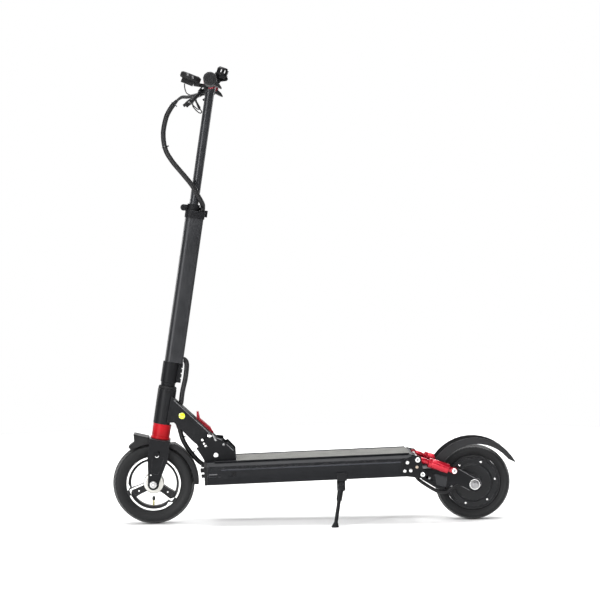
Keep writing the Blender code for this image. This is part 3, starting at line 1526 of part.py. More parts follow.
def make_stand(tipped):
    """The side stand and the bracket that it folds up against."""
    place = shift(STAND_X, STAND_Y, STAND_Z) @ turn(-STAND_SPLAY, "X")
    axis = frame_at("kickstand_axis", place)
    long = STAND_Z / cos(STAND_SPLAY)
    knuckle = arc(0, 0, 0.0090, -20, 200, 8) + [(-0.0090, -0.0150), (0.0090, -0.0150)]
    leg = plate("kickstand_leg", axis, knuckle, 0.016, black_paint())
    sleeve = turned(
        "sleeve",
        axis,
        [
            (0, -0.006),
            (0.0075, -0.006),
            (0.0080, -0.012),
            (0.0074, -0.0410),
            (0.0050, -0.0450),
            (0.0048, -long + 0.0130),
            (0.0100, -long - 0.0005),
            (0.0105, -long - 0.0120),
            (0, -long - 0.0120),
        ],
        None,
        turn(atan2(STAND_LEAN, long), "Y"),
        COARSE,
    )
    bolt = rod("bolt", axis, (0, -0.0112, 0), (0, 0.0150, 0), 0.0048)
    join(leg, [sleeve, bolt])
    ground = block("ground", None, (-0.05, -0.30, -0.06), (0.15, 0.0, 0.0), None)
    cut(leg, ground)

    under = -DECK_DEEP - SEAT
    side_face = -DECK_HALF - SEAT
    front, rear = STAND_X - 0.0125, STAND_X + 0.0125
    skin = side_face - 0.0035
    floor = under - 0.0025
    bracket = block(
        "kickstand_bracket", tipped, (front, skin, floor), (rear, 0.040 - DECK_HALF, under), black_paint()
    )
    lip = block("lip", tipped, (front, skin, floor), (rear, side_face, under + 0.0190), None)
    cheek = block("cheek", axis, (-0.0110, 0.0080 + RUN, -0.0110), (0.0110, 0.0135, 0.0168), None)
    join(bracket, [lip, cheek])
    hole = rod("hole", axis, (0, 0.0, 0), (0, 0.03, 0), 0.0048 + SEAT)
    cut(bracket, hole)


def make_cables(tipped, column, fold, arm):
    """The four cable runs, each from one housing to the next."""
    jacket = material("cable_jacket", (0.02, 0.02, 0.02), 0.5)
    stem_top = STEM_LOW + STEM_TALL
    upper = [
        (-UPPER_R - 0.0010, 0.0, BAR_S - 0.0280),
        (-UPPER_R - 0.0090, 0.0, BAR_S - 0.0280),
        (-0.0320, 0.0, BAR_S - 0.0325),
        (-0.0440, 0.0, BAR_S - 0.0375),
        (-0.0580, 0.0, BAR_S - 0.0425),
        (-0.0720, 0.0, BAR_S - 0.0455),
        (-0.0870, 0.0, BAR_S - 0.0625),
        (-0.0985, 0.0, BAR_S - 0.0850),
        (-0.1048, -0.003, BAR_S - 0.1090),
        (-0.1053, -0.010, BAR_S - 0.1490),
        (-0.0935, -0.020, BAR_S - 0.1875),
        (-0.0707, -0.026, BAR_S - 0.2165),
        (-0.0394, -0.027, BAR_S - 0.2445),
        (-0.0105, -0.0265, BAR_S - 0.2715),
        (0.0090, -0.0220, stem_top + 0.0460),
        (0.0215, -0.0100, stem_top + 0.0290),
        (0.0243, 0.0, stem_top + 0.0190),
        (0.0243, 0.0, stem_top + 0.0078),
    ]
    cable("handlebar_cable", column, upper, LOOM_R, 0.018, jacket)

    run, up, _ = neck_edge()
    inverse = column.matrix_world.inverted()
    entry = fold_place(0.0133, HEAD_LOW + 0.0765) - run * 0.0304

    def above(out):
        place = entry + up * out
        return inverse @ (deck_point(FOLD_X, FOLD_RISE) + Vector((place.x, 0, place.y)))

    lower = [
        Vector((STEM_BACK + 0.0006, 0, STEM_LOW + 0.0100)),
        Vector((STEM_BACK + 0.0033, 0, STEM_LOW + 0.0100)),
        Vector((STEM_BACK + 0.0084, 0, STEM_LOW + 0.0050)),
        Vector((STEM_BACK + 0.0114, 0, STEM_LOW - 0.0060)),
        Vector((STEM_BACK + 0.0124, 0, STEM_LOW - 0.0250)),
        Vector((STEM_BACK + 0.0124, 0, STEM_LOW - 0.0420)),
        Vector((STEM_BACK + 0.0108, 0, STEM_LOW - 0.0600)),
        Vector((STEM_BACK + 0.0098, 0, STEM_LOW - 0.0800)),
        above(0.0040),
        above(0.0006),
    ]
    cable("stem_cable", column, lower, STEM_CABLE_R, 0.014, jacket)

    inverse = fold.matrix_world.inverted()
    face = DECK_FRONT - SEAT - CAP_THICK
    nose = deck_point(face - 0.0007, -0.0125)
    ways = [
        nose + Vector((-0.0600, 0, 0.1300)),
        nose + Vector((-0.0684, 0, 0.1140)),
        nose + Vector((-0.0633, 0, 0.0935)),
        nose + Vector((-0.0560, 0, 0.0672)),
        nose + Vector((-0.0455, 0, 0.0465)),
        nose + Vector((-0.0323, 0, 0.0280)),
        nose + Vector((-0.0165, 0, 0.0100)),
        deck_point(face - 0.0045, -0.0125),
        nose,
    ]
    cable("neck_cable", fold, [inverse @ p for p in ways], NECK_CABLE_R, 0.014, jacket)

    inverse = arm.matrix_world.inverted()
    face = DECK_REAR + SEAT + 0.0058
    tail = deck_point(face + 0.0005, -DECK_DEEP + 0.0075, 0.008 - ARM_IN)
    shaft_x = REAR_AXLE_X - MOTOR_SHAFT - 0.0005
    ways = [
        tail,
        deck_point(face + 0.0035, -DECK_DEEP + 0.0075, 0.008 - ARM_IN),
        Vector((0.2695, 0.006 - ARM_IN, 0.1180)),
        Vector((0.2785, 0.001 - ARM_IN, 0.1092)),
        Vector((0.2920, -0.003 - ARM_IN, 0.1000)),
        Vector((0.3150, -0.005 - ARM_IN, 0.0860)),
        Vector((0.3320, -0.004 - ARM_IN, 0.0798)),
        Vector((0.3480, -ARM_IN, 0.0800)),
        Vector((0.3640, 0.008 - ARM_IN, 0.0880)),
        Vector((0.3820, 0.011 - ARM_IN, 0.0960)),
        Vector((shaft_x - 0.0080, 0.0115 - ARM_IN, REAR_TYRE_R)),
        Vector((shaft_x, 0.0115 - ARM_IN, REAR_TYRE_R)),
    ]
    cable("motor_cable", arm, [inverse @ p for p in ways], MOTOR_CABLE_R, 0.012, jacket, 1)


def main():
    tipped = frame_at("deck_frame", shift(0, 0, DECK_TOP) @ turn(-DECK_TILT, "Y"))
    fold = frame_at("stem_fold_axis", Matrix.Translation(deck_point(FOLD_X, FOLD_RISE)))
    column = frame_at("steering_axis", shift(FRONT_AXLE_X, 0, FRONT_TYRE_R) @ turn(RAKE, "Y"))
    arm = frame_at("rear_suspension_axis", shift(ARM_PIVOT_X, 0, ARM_PIVOT_Z))

    make_deck(tipped)
    make_bracket(tipped)
    make_neck(fold)
    make_fold_lever(fold)
    make_column(column)
    fork_slide = make_fork(column)
    make_front_wheel(fork_slide)
    stem_slide = make_upper_stem(column)
    left = make_bar(stem_slide, -1, "left")
    right = make_bar(stem_slide, 1, "right")
    make_brake(left, -1, "left")
    make_brake(right, 1, "right")
    make_display(right)
    make_bell(left)
    make_rear_bracket(tipped)
    make_swingarm(arm)
    for side, word in ((-1, "left"), (1, "right")):
        make_shock(arm, side, word)
    make_stand(tipped)
    make_cables(tipped, column, fold, arm)


main()
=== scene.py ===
"""The looks of the electric scooter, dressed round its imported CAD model.

The frame is the CAD's own: metres, +Z up, the scooter faces -X and its rider's left is -Y.
"""

import json
from math import cos, pi, radians, sin, tau

import bmesh
import bpy
from mathutils import Matrix, Vector
from mathutils.bvhtree import BVHTree


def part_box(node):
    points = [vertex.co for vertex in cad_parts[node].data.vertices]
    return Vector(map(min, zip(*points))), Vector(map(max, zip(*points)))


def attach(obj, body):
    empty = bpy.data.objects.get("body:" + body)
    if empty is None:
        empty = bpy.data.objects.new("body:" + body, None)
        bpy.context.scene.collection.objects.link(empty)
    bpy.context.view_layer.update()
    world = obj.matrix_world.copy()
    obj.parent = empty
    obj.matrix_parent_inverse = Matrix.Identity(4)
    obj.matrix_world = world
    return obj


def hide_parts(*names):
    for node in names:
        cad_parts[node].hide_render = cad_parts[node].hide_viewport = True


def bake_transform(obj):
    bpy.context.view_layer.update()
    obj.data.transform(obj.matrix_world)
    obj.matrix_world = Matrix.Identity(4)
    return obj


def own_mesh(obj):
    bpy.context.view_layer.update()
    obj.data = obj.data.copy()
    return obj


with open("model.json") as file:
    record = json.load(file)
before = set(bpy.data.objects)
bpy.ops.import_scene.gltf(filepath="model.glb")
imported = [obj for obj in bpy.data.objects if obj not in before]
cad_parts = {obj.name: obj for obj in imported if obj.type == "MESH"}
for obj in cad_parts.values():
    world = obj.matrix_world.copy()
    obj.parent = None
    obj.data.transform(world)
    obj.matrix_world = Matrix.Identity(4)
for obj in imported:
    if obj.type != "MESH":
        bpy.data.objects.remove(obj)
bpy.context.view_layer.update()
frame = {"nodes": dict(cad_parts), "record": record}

BODY_OF = {}
for body_name, members in frame["record"]["behaviour"]["bodies"].items():
    for member in members:
        BODY_OF[member] = body_name

SIDES = {-1: "near", 1: "far"}
HANDS = {-1: "left", 1: "right"}

# The CAD's own sizes that the pieces here are laid out from, in metres and degrees
RAKE = 8.9
STEER_X, STEER_Z = -0.4235, 0.108
DECK_TILT = -1.775
DECK_Z = 0.1773
DECK_START_X, CAP_GAP, CAP_THICK = -0.282, 0.0003, 0.0077
DECK_SIDE = 0.0914
CLAMP_HIGH = 0.72
CROSS_HIGH = 1.0628


def tipped(x, z, degrees):
    """A frame in the scooter's middle plane, turned about Y."""
    return Matrix.Translation((x, 0, z)) @ Matrix.Rotation(radians(degrees), 4, "Y")


STEER = tipped(STEER_X, STEER_Z, RAKE)
DECK = tipped(0, DECK_Z, DECK_TILT)
NOSE_X = DECK_START_X - CAP_GAP - CAP_THICK
ALONG_Y = Matrix.Rotation(-pi / 2, 4, "X")
SIDE_VIEW = Matrix.Rotation(pi / 2, 4, "X")


def at(x, y, z):
    return Matrix.Translation((x, y, z))


def middle(node):
    low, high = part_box(node)
    return (low + high) / 2


# Materials. Their scales are counts per metre, their reliefs and bevels are in metres.

CLOUDS_SCALE, CLOUDS_SHARE = 26.0, 0.65
GRAIN_SHARE = 0.35
SCUFFS_SCALE = 160.0
WORN_WIDTH = 0.0012
COAT_ROUGHNESS = 0.08
PRISMS_SCALE = 520.0
GRIT_SCALE = 850.0
COVER_RINGS = 700
RIM_RINGS = 1100


def node(tree, kind, inputs=None, **settings):
    made = tree.nodes.new(kind)
    for key, value in settings.items():
        setattr(made, key, value)
    for key, value in (inputs or {}).items():
        if isinstance(value, bpy.types.NodeSocket):
            tree.links.new(value, made.inputs[key])
        else:
            made.inputs[key].default_value = value
    return made


def place(tree, stretch=(1, 1, 1), tilt=0.0, origin=(0, 0, 0)):
    """Object coordinates about an origin, tipped about Y, then stretched."""
    where = node(tree, "ShaderNodeTexCoord").outputs["Object"]
    moved = node(tree, "ShaderNodeVectorMath", {0: where, 1: origin}, operation="SUBTRACT").outputs[0]
    turned = {"Vector": moved, "Rotation": (0, radians(-tilt), 0)}
    flat = node(tree, "ShaderNodeMapping", turned).outputs[0]
    return node(tree, "ShaderNodeMapping", {"Vector": flat, "Scale": stretch}).outputs[0]


def noise(tree, where, scale, detail=2.0, rough=0.5):
    inputs = {"Vector": where, "Scale": scale, "Detail": detail, "Roughness": rough}
    return node(tree, "ShaderNodeTexNoise", inputs).outputs["Fac"]


def spread(tree, value, low, high, start=0.3, end=0.7):
    inputs = {"Value": value, "From Min": start, "From Max": end, "To Min": low, "To Max": high}
    return node(tree, "ShaderNodeMapRange", inputs).outputs["Result"]


def maths(tree, operation, a, b):
    return node(tree, "ShaderNodeMath", {0: a, 1: b}, operation=operation).outputs[0]


def blend_colour(tree, share, dark, light):
    mix = node(tree, "ShaderNodeMix", data_type="RGBA")
    tree.links.new(share, mix.inputs["Factor"])
    for socket, colour in ((mix.inputs[6], dark), (mix.inputs[7], light)):
        if isinstance(colour, bpy.types.NodeSocket):
            tree.links.new(colour, socket)
        else:
            socket.default_value = (*colour, 1.0)
    return mix.outputs[2]


def edges(tree):
    """Near 1 along worn edges, 0 on the faces between them."""
    soft = node(tree, "ShaderNodeBevel", {"Radius": WORN_WIDTH}, samples=4).outputs[0]
    face = node(tree, "ShaderNodeNewGeometry").outputs["Normal"]
    along = node(tree, "ShaderNodeVectorMath", {0: soft, 1: face}, operation="DOT_PRODUCT").outputs["Value"]
    return spread(tree, along, 1.0, 0.0, 0.9, 0.985)


def finish(
    name, dark, light, rough, metallic=0.0, shine=0.5, grain=900.0, stretch=(1, 1, 1), tilt=0.0,
    bump=0.1, coat=0.0, wear=None, sheen=0.0, depth=0.0003,
):
    """A surface with cloudy colour, a fine grain in its gloss and relief, and worn edges."""
    mat = bpy.data.materials.new(name)
    mat.use_nodes = True
    tree = mat.node_tree
    shader = tree.nodes["Principled BSDF"]
    clouds = noise(tree, place(tree), CLOUDS_SCALE, 4.0, 0.6)
    fine = noise(tree, place(tree, stretch, tilt), grain, 3.0)
    cloudy = maths(tree, "MULTIPLY", clouds, CLOUDS_SHARE)
    both = maths(tree, "ADD", cloudy, maths(tree, "MULTIPLY", fine, GRAIN_SHARE))
    colour = blend_colour(tree, spread(tree, both, 0.0, 1.0, 0.35, 0.65), dark, light)
    if wear:
        scuffs = spread(tree, noise(tree, place(tree), SCUFFS_SCALE, 4.0, 0.7), 0.0, 1.0, 0.42, 0.66)
        colour = blend_colour(tree, maths(tree, "MULTIPLY", edges(tree), scuffs), colour, wear)
    tree.links.new(colour, shader.inputs["Base Color"])
    tree.links.new(spread(tree, both, rough[0], rough[1], 0.35, 0.65), shader.inputs["Roughness"])
    relief = {"Strength": bump, "Distance": depth, "Height": fine}
    tree.links.new(node(tree, "ShaderNodeBump", relief).outputs[0], shader.inputs["Normal"])
    shader.inputs["Metallic"].default_value = metallic
    shader.inputs["Specular IOR Level"].default_value = shine
    shader.inputs["Coat Weight"].default_value = coat
    shader.inputs["Coat Roughness"].default_value = COAT_ROUGHNESS
    shader.inputs["Sheen Weight"].default_value = sheen
    return mat


def relief_on(mat, height, strength, distance):
    """Adds one more relief on top of a material's own."""
    tree = mat.node_tree
    normal = tree.nodes["Principled BSDF"].inputs["Normal"]
    under = normal.links[0].from_socket
    inputs = {"Strength": strength, "Distance": distance, "Height": height, "Normal": under}
    tree.links.new(node(tree, "ShaderNodeBump", inputs).outputs[0], normal)
    return mat


def rings_about(mat, centre, per_metre, strength, distance=0.0002):
    """Fine lathe rings about an axle that lies along Y."""
    tree = mat.node_tree
    flat = place(tree, (1, 0, 1), 0, centre)
    radius = node(tree, "ShaderNodeVectorMath", {0: flat}, operation="LENGTH").outputs["Value"]
    wave = maths(tree, "SINE", maths(tree, "MULTIPLY", radius, per_metre * tau), 0.0)
    return relief_on(mat, wave, strength, distance)


FRONT = middle("front_tyre")
REAR = middle("rear_tyre")

PAINT = finish(
    "satin_black_paint", (0.0049, 0.0051, 0.0059), (0.0083, 0.0086, 0.0098), (0.36, 0.5), shine=0.12, bump=0.22,
    wear=(0.1, 0.1, 0.105)
)
CAST = finish(
    "cast_black_paint", (0.0042, 0.0044, 0.0052), (0.0075, 0.0077, 0.0089), (0.42, 0.58), shine=0.11, grain=520,
    bump=0.35, wear=(0.085, 0.085, 0.09)
)
DECK_BLACK = finish(
    "anodised_deck", (0.004, 0.0045, 0.0056), (0.0073, 0.0077, 0.0093), (0.3, 0.42), 0.25, 0.17, 260, (1, 9, 9),
    DECK_TILT, 0.16, wear=(0.16, 0.16, 0.17)
)
STEM_BLACK = finish(
    "anodised_stem", (0.0167, 0.0172, 0.019), (0.0245, 0.0251, 0.0273), (0.34, 0.44), 0.35, 0.22, 260,
    (9, 9, 1), RAKE, 0.14, wear=(0.14, 0.14, 0.15)
)
BAR_BLACK = finish(
    "anodised_bar", (0.0138, 0.0144, 0.0161), (0.0253, 0.0264, 0.0299), (0.28, 0.4), 0.25, 0.3, 300, (9, 1, 9),
    bump=0.14, wear=(0.12, 0.12, 0.125)
)
PLASTIC = finish(
    "moulded_black", (0.0072, 0.0072, 0.0076), (0.013, 0.013, 0.0137), (0.46, 0.62), shine=0.15, grain=1300,
    bump=0.25, wear=(0.04, 0.04, 0.042)
)
GLOSS = finish(
    "gloss_black", (0.006, 0.006, 0.007), (0.011, 0.011, 0.012), (0.12, 0.22), shine=0.26, grain=500, bump=0.03,
    coat=0.4
)
FENDER = finish(
    "fender_black", (0.0093, 0.0093, 0.0101), (0.0164, 0.0164, 0.0179), (0.34, 0.46), shine=0.19, grain=1100,
    bump=0.16, wear=(0.045, 0.045, 0.047)
)
TYRE = finish(
    "tyre_rubber", (0.004, 0.0041, 0.0045), (0.0086, 0.009, 0.0096), (0.42, 0.6), shine=0.18, bump=0.3,
    sheen=0.12, wear=(0.05, 0.05, 0.052)
)
SOFT_RUBBER = finish(
    "soft_rubber", (0.0079, 0.0079, 0.0086), (0.0144, 0.0144, 0.0151), (0.6, 0.8), shine=0.15, grain=1200,
    bump=0.3, sheen=0.1
)
JACKET = finish(
    "cable_jacket", (0.0064, 0.0064, 0.0072), (0.0128, 0.0128, 0.0136), (0.36, 0.52), shine=0.2, bump=0.18
)
RED_METAL = finish(
    "red_anodised", (0.3432, 0.0026, 0.0145), (0.4752, 0.0053, 0.0224), (0.2, 0.3), 0.55, 0.34, 500, bump=0.05,
    coat=0.35, wear=(0.85, 0.2, 0.22)
)
RED_DEEP = finish(
    "red_anodised_deep", (0.14, 0.002, 0.01), (0.22, 0.004, 0.016), (0.2, 0.3), 0.55, 0.4, 500, bump=0.05,
    coat=0.35, wear=(0.6, 0.2, 0.22)
)
RED_LEVER = finish(
    "red_lever", (0.18, 0.0036, 0.0096), (0.276, 0.006, 0.0156), (0.34, 0.46), 0.25, 0.25, 700, bump=0.14,
    wear=(0.55, 0.16, 0.17)
)
RED_RUBBER = finish(
    "red_boot", (0.2772, 0.0011, 0.0045), (0.377, 0.0028, 0.0089), (0.36, 0.48), shine=0.12, bump=0.14,
    sheen=0.08
)
STEEL = finish("zinc_steel", (0.5, 0.5, 0.5), (0.74, 0.74, 0.73), (0.2, 0.36), 1.0, wear=(0.85, 0.85, 0.84))
DARK_STEEL = finish("dull_steel", (0.2, 0.2, 0.205), (0.34, 0.34, 0.34), (0.3, 0.46), 1.0)
RIM_BRIGHT = finish("machined_rim", (0.78, 0.78, 0.77), (0.92, 0.92, 0.91), (0.26, 0.38), 0.65, bump=0.05)
RIM_BLACK = finish(
    "rim_black", (0.0063, 0.0063, 0.0072), (0.0117, 0.0117, 0.0126), (0.34, 0.48), shine=0.2, bump=0.16,
    wear=(0.06, 0.06, 0.062)
)
MOTOR = finish(
    "motor_black", (0.0058, 0.006, 0.0069), (0.0103, 0.011, 0.0121), (0.38, 0.52), shine=0.19, grain=800,
    bump=0.16, wear=(0.1, 0.1, 0.105)
)
TAPE = finish(
    "grip_tape", (0.127, 0.127, 0.12), (0.1883, 0.1883, 0.1789), (0.8, 0.95), shine=0.1, grain=1800, bump=0.75,
    depth=0.0006
)
SCREEN = finish(
    "display_glass", (0.004, 0.004, 0.005), (0.008, 0.009, 0.011), (0.05, 0.1), coat=0.6, grain=700, bump=0.01
)
GREY_KEY = finish(
    "grey_key", (0.084, 0.084, 0.0868), (0.1232, 0.1232, 0.126), (0.45, 0.6), grain=1200, bump=0.15
)
WRAP = finish("battery_wrap", (0.015, 0.06, 0.22), (0.025, 0.1, 0.34), (0.3, 0.45), grain=300, bump=0.2)
CASE = finish(
    "controller_case", (0.24, 0.245, 0.25), (0.36, 0.365, 0.37), (0.34, 0.48), 0.9, 0.5, 300, (1, 9, 9),
    bump=0.15
)
# Light grey metal for machined edges and pins, and for the painted highlight lines along the swing arm's edges.
MACHINED_AND_HIGHLIGHT = finish("machined_edge_and_painted_highlight", (0.11, 0.11, 0.115), (0.19, 0.19, 0.195), (0.3, 0.42), 0.8, 0.4, bump=0.08)
# A real ridge on the deck's sides, painted lighter as the highlight along it.
RAIL_WITH_HIGHLIGHT = finish(
    "deck_rail_highlight", (0.02, 0.021, 0.026), (0.032, 0.034, 0.041), (0.26, 0.36), 0.3, 0.3, 260, (1, 9, 9), DECK_TILT,
    0.12
)
BRONZE = finish("bronze", (0.3, 0.24, 0.19), (0.44, 0.36, 0.29), (0.3, 0.44), 1.0)
HUB_METAL = finish("hub_alloy", (0.42, 0.415, 0.39), (0.56, 0.55, 0.52), (0.34, 0.48), 0.8, 0.4, bump=0.08)
BELL_BLACK = finish("bell_black", (0.004, 0.004, 0.0045), (0.008, 0.008, 0.009), (0.3, 0.44), shine=0.12)
STRAW = finish("valve_stem", (0.4, 0.36, 0.14), (0.56, 0.5, 0.24), (0.3, 0.44), 0.6)
rings_about(MOTOR, REAR, COVER_RINGS, 0.12)
rings_about(RIM_BRIGHT, FRONT, RIM_RINGS, 0.08, 0.0001)


def reflector_material():
    """A yellow lens with small prisms, with a faint painted glow that stands in for the light a lit reflector
    sends back.
    """
    mat = finish(
        "reflector", (0.4, 0.5, 0.005), (0.58, 0.68, 0.02), (0.1, 0.22), shine=0.6, grain=700, bump=0.02,
        coat=0.5
    )
    tree = mat.node_tree
    cells = {"Vector": place(tree), "Scale": PRISMS_SCALE}
    prisms = node(tree, "ShaderNodeTexVoronoi", cells).outputs["Distance"]
    shader = tree.nodes["Principled BSDF"]
    # Painted glow: the lens emits a little light, though it is no lamp.
    shader.inputs["Emission Color"].default_value = (0.62, 0.8, 0.04, 1.0)
    shader.inputs["Emission Strength"].default_value = 0.06
    return relief_on(mat, prisms, 0.4, 0.0006)


def tape_grit():
    """Coarse grit in the tape, over its fine grain."""
    tree = TAPE.node_tree
    cells = node(tree, "ShaderNodeTexVoronoi", {"Vector": place(tree), "Scale": GRIT_SCALE}).outputs["Distance"]
    relief_on(TAPE, cells, 0.7, 0.0007)


REFLECTOR = reflector_material()
tape_grit()


# Pieces

SUNK = 0.0006  # how deep a screw's head sits in the face that carries it
ROUTE_STEPS = 12  # points to each span of a cable's route
LOOM_R, STRAND_R, BRAKE_CABLE_R = 0.0066, 0.0027, 0.0015
STEM_LEAD_R, NECK_LEAD_R, MOTOR_LEAD_R = 0.0066, 0.0062, 0.0046


def linked(name, data):
    """A new object, put in the scene."""
    obj = bpy.data.objects.new(name, data)
    bpy.context.scene.collection.objects.link(obj)
    return obj


def piece(name, mesh, body, mat, matrix=None, replaces=(), angle=32, bevel=0.0):
    """A mesh made into a shaded piece that rides on a body."""
    obj = linked(name, mesh)
    if matrix is not None:
        mesh.transform(matrix)
        if matrix.determinant() < 0:
            mesh.flip_normals()
    mesh.materials.clear()
    mesh.materials.append(mat)
    mesh.shade_smooth()
    mesh.set_sharp_from_angle(angle=radians(angle))
    if bevel:
        soften(obj, bevel, angle)
    if body:
        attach(obj, body)
    if replaces:
        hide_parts(*replaces)
    return obj


def soften(obj, width, angle):
    mod = obj.modifiers.new("soft_edges", "BEVEL")
    mod.width = width
    mod.segments = 2
    mod.limit_method = "ANGLE"
    mod.angle_limit = radians(angle)
    mod.harden_normals = True


def mesh_of(form):
    bmesh.ops.recalc_face_normals(form, faces=form.faces)
    mesh = bpy.data.meshes.new("form")
    form.to_mesh(mesh)
    form.free()
    return mesh


def dress(source, mat, bevel):
    """Stands for a CAD node: the same solid with its flat faces whole again and its edges softened."""
    form = bmesh.new()
    form.from_mesh(frame["nodes"][source].data)
    bmesh.ops.remove_doubles(form, verts=form.verts, dist=0.00001)
    bmesh.ops.dissolve_limit(form, angle_limit=radians(0.6), verts=form.verts, edges=form.edges)
    mesh = mesh_of(form)
    for layer in list(mesh.uv_layers):
        mesh.uv_layers.remove(layer)
    return piece(f"{source}_dressed", mesh, BODY_OF[source], mat, replaces=(source,), bevel=bevel)


def keep(source, mat):
    """Keeps a CAD node and gives it its material."""
    obj = frame["nodes"][source]
    obj.data.materials.clear()
    obj.data.materials.append(mat)


def hexed(radius, angle):
    """The radius of a hexagon's side at an angle, with its corners just cut."""
    off = (angle + pi / 6) % (pi / 3) - pi / 6
    return min(radius / cos(off), radius * 1.12)


def lathe(profile, steps=96, ring=False, hexes=(), relief=None):
    """A profile of (radius, height) turned about Z. The points named in hexes turn as hexagons."""
    form = bmesh.new()
    rows = []
    for i, (radius, height) in enumerate(profile):
        if radius < 1e-7:
            rows.append([form.verts.new((0, 0, height))])
            continue
        row = []
        for k in range(steps):
            angle = tau * k / steps
            reach = hexed(radius, angle) if i in hexes else radius
            if relief:
                reach += relief(radius, height, angle)
            row.append(form.verts.new((reach * cos(angle), reach * sin(angle), height)))
        rows.append(row)
    pairs = list(zip(rows, rows[1:])) + ([(rows[-1], rows[0])] if ring else [])
    for low, high in pairs:
        for k in range(steps):
            n = (k + 1) % steps
            corners = [low[k % len(low)], low[n % len(low)], high[n % len(high)], high[k % len(high)]]
            face = []
            for corner in corners:
                if corner not in face:
                    face.append(corner)
            if len(face) > 2:
                form.faces.new(face)
    return mesh_of(form)


def flowing(points, count, closed=False):
    """Points on a smooth curve through the given ones, count to each span."""
    ways = [Vector(p) for p in points]
    if closed:
        ways = [ways[-1]] + ways + [ways[0], ways[1]]
    else:
        ways = [2 * ways[0] - ways[1]] + ways + [2 * ways[-1] - ways[-2]]
    route = [ways[1]]
    for a, b, c, d in zip(ways, ways[1:], ways[2:], ways[3:]):
        for i in range(1, count + 1):
            t = i / count
            spot = 2 * b + (c - a) * t + (2 * a - 5 * b + 4 * c - d) * t**2
            route.append((spot + (3 * b - a - 3 * c + d) * t**3) / 2)
    return route[:-1] if closed else route


def strip(form, rows):
    """The faces between rows of corners, and over both ends."""
    for low, high in zip(rows, rows[1:]):
        for k in range(len(low)):
            n = (k + 1) % len(low)
            form.faces.new((low[k], low[n], high[n], high[k]))
    form.faces.new(rows[0][::-1])
    form.faces.new(rows[-1])
    return mesh_of(form)


def tube(route, radius, sides=16, swell=None):
    """A round tube along a route, closed at both ends. swell gives its radius share at each point."""
    form = bmesh.new()
    side = None
    rows = []
    last = len(route) - 1
    for i, spot in enumerate(route):
        ahead = (route[min(i + 1, last)] - route[max(i - 1, 0)]).normalized()
        if side is None:
            side = ahead.orthogonal().normalized()
        side = (side - ahead * side.dot(ahead)).normalized()
        over = ahead.cross(side)
        reach = radius * (swell(i / last) if swell else 1.0)
        row = []
        for k in range(sides):
            angle = tau * k / sides
            row.append(form.verts.new(spot + (side * cos(angle) + over * sin(angle)) * reach))
        rows.append(row)
    return strip(form, rows)


def slab(outline, thick, holes=()):
    """A flat outline with holes, centred on its plane."""
    curve = bpy.data.curves.new("slab", "CURVE")
    curve.dimensions = "2D"
    curve.fill_mode = "BOTH"
    curve.extrude = thick / 2
    for loop in [outline, *holes]:
        spline = curve.splines.new("POLY")
        spline.points.add(len(loop) - 1)
        for knot, (x, y) in zip(spline.points, loop):
            knot.co = (x, y, 0, 1)
        spline.use_cyclic_u = True
    holder = linked("slab", curve)
    graph = bpy.context.evaluated_depsgraph_get()
    graph.update()
    form = bmesh.new()
    form.from_mesh(bpy.data.meshes.new_from_object(holder.evaluated_get(graph)))
    bpy.data.objects.remove(holder, do_unlink=True)
    bmesh.ops.remove_doubles(form, verts=form.verts, dist=0.000005)
    bmesh.ops.dissolve_limit(form, angle_limit=radians(0.3), verts=form.verts, edges=form.edges)
    return mesh_of(form)


def arc(radius, start, end, count, x=0.0, y=0.0):
    points = []
    for i in range(count + 1):
        angle = radians(start + (end - start) * i / count)
        points.append((x + radius * cos(angle), y + radius * sin(angle)))
    return points


def ribbon(pairs, thick):
    """A strip between two edges, given as pairs of points, thickened along Y."""
    form = bmesh.new()
    rows = []
    for inner, outer in pairs:
        row = []
        for spot, lift in ((inner, 0), (outer, 0), (outer, thick), (inner, thick)):
            row.append(form.verts.new((spot[0], spot[1] + lift, spot[2])))
        rows.append(row)
    return strip(form, rows)


def facing(spot, direction):
    """A frame at a spot whose Z looks along a direction."""
    return Matrix.Translation(spot) @ Vector(direction).to_track_quat("Z", "Y").to_matrix().to_4x4()


def bolt(name, spot, direction, radius, tall, body, mat=None):
    """A button-head screw with a hexagon socket."""
    profile = [
        (0, tall * 0.45), (radius * 0.42, tall * 0.45), (radius * 0.44, tall), (radius * 0.6, tall),
        (radius * 0.9, tall * 0.78), (radius, tall * 0.45), (radius, -SUNK), (0, -SUNK),
    ]
    return piece(name, lathe(profile, 48, hexes=(1, 2)), body, mat or STEEL, facing(spot, direction))


def nut(name, spot, direction, across, tall, body, stud):
    """A hexagon nut with a washer face and the end of its stud."""
    half = across / 2
    profile = [
        (0, tall + 0.0018), (stud * 0.42, tall + 0.0018), (stud * 0.5, tall + 0.0012),
        (stud * 0.5, tall - 0.0006), (half * 0.86, tall), (half, tall * 0.88), (half, 0.0012),
        (half * 1.22, 0.0012), (half * 1.22, 0), (0, 0),
    ]
    return piece(name, lathe(profile, 72, hexes=(5, 6)), body, STEEL, facing(spot, direction))


# Camera, floor and lights

CAMERA_SPOT = (-0.194, -6.12, 0.851)
CAMERA_TURN = (1.52, 2.47, -0.64)  # yaw, pitch down and roll in degrees
SENSOR_MM, LENS_MM = 36, 139.2
FLOOR_RADIUS = 2.6
FLOOR_TONES = ((0.86, 0.86, 0.86), (0.9, 0.9, 0.9))
AMBIENT, BACKDROP = 0.16, 1.0

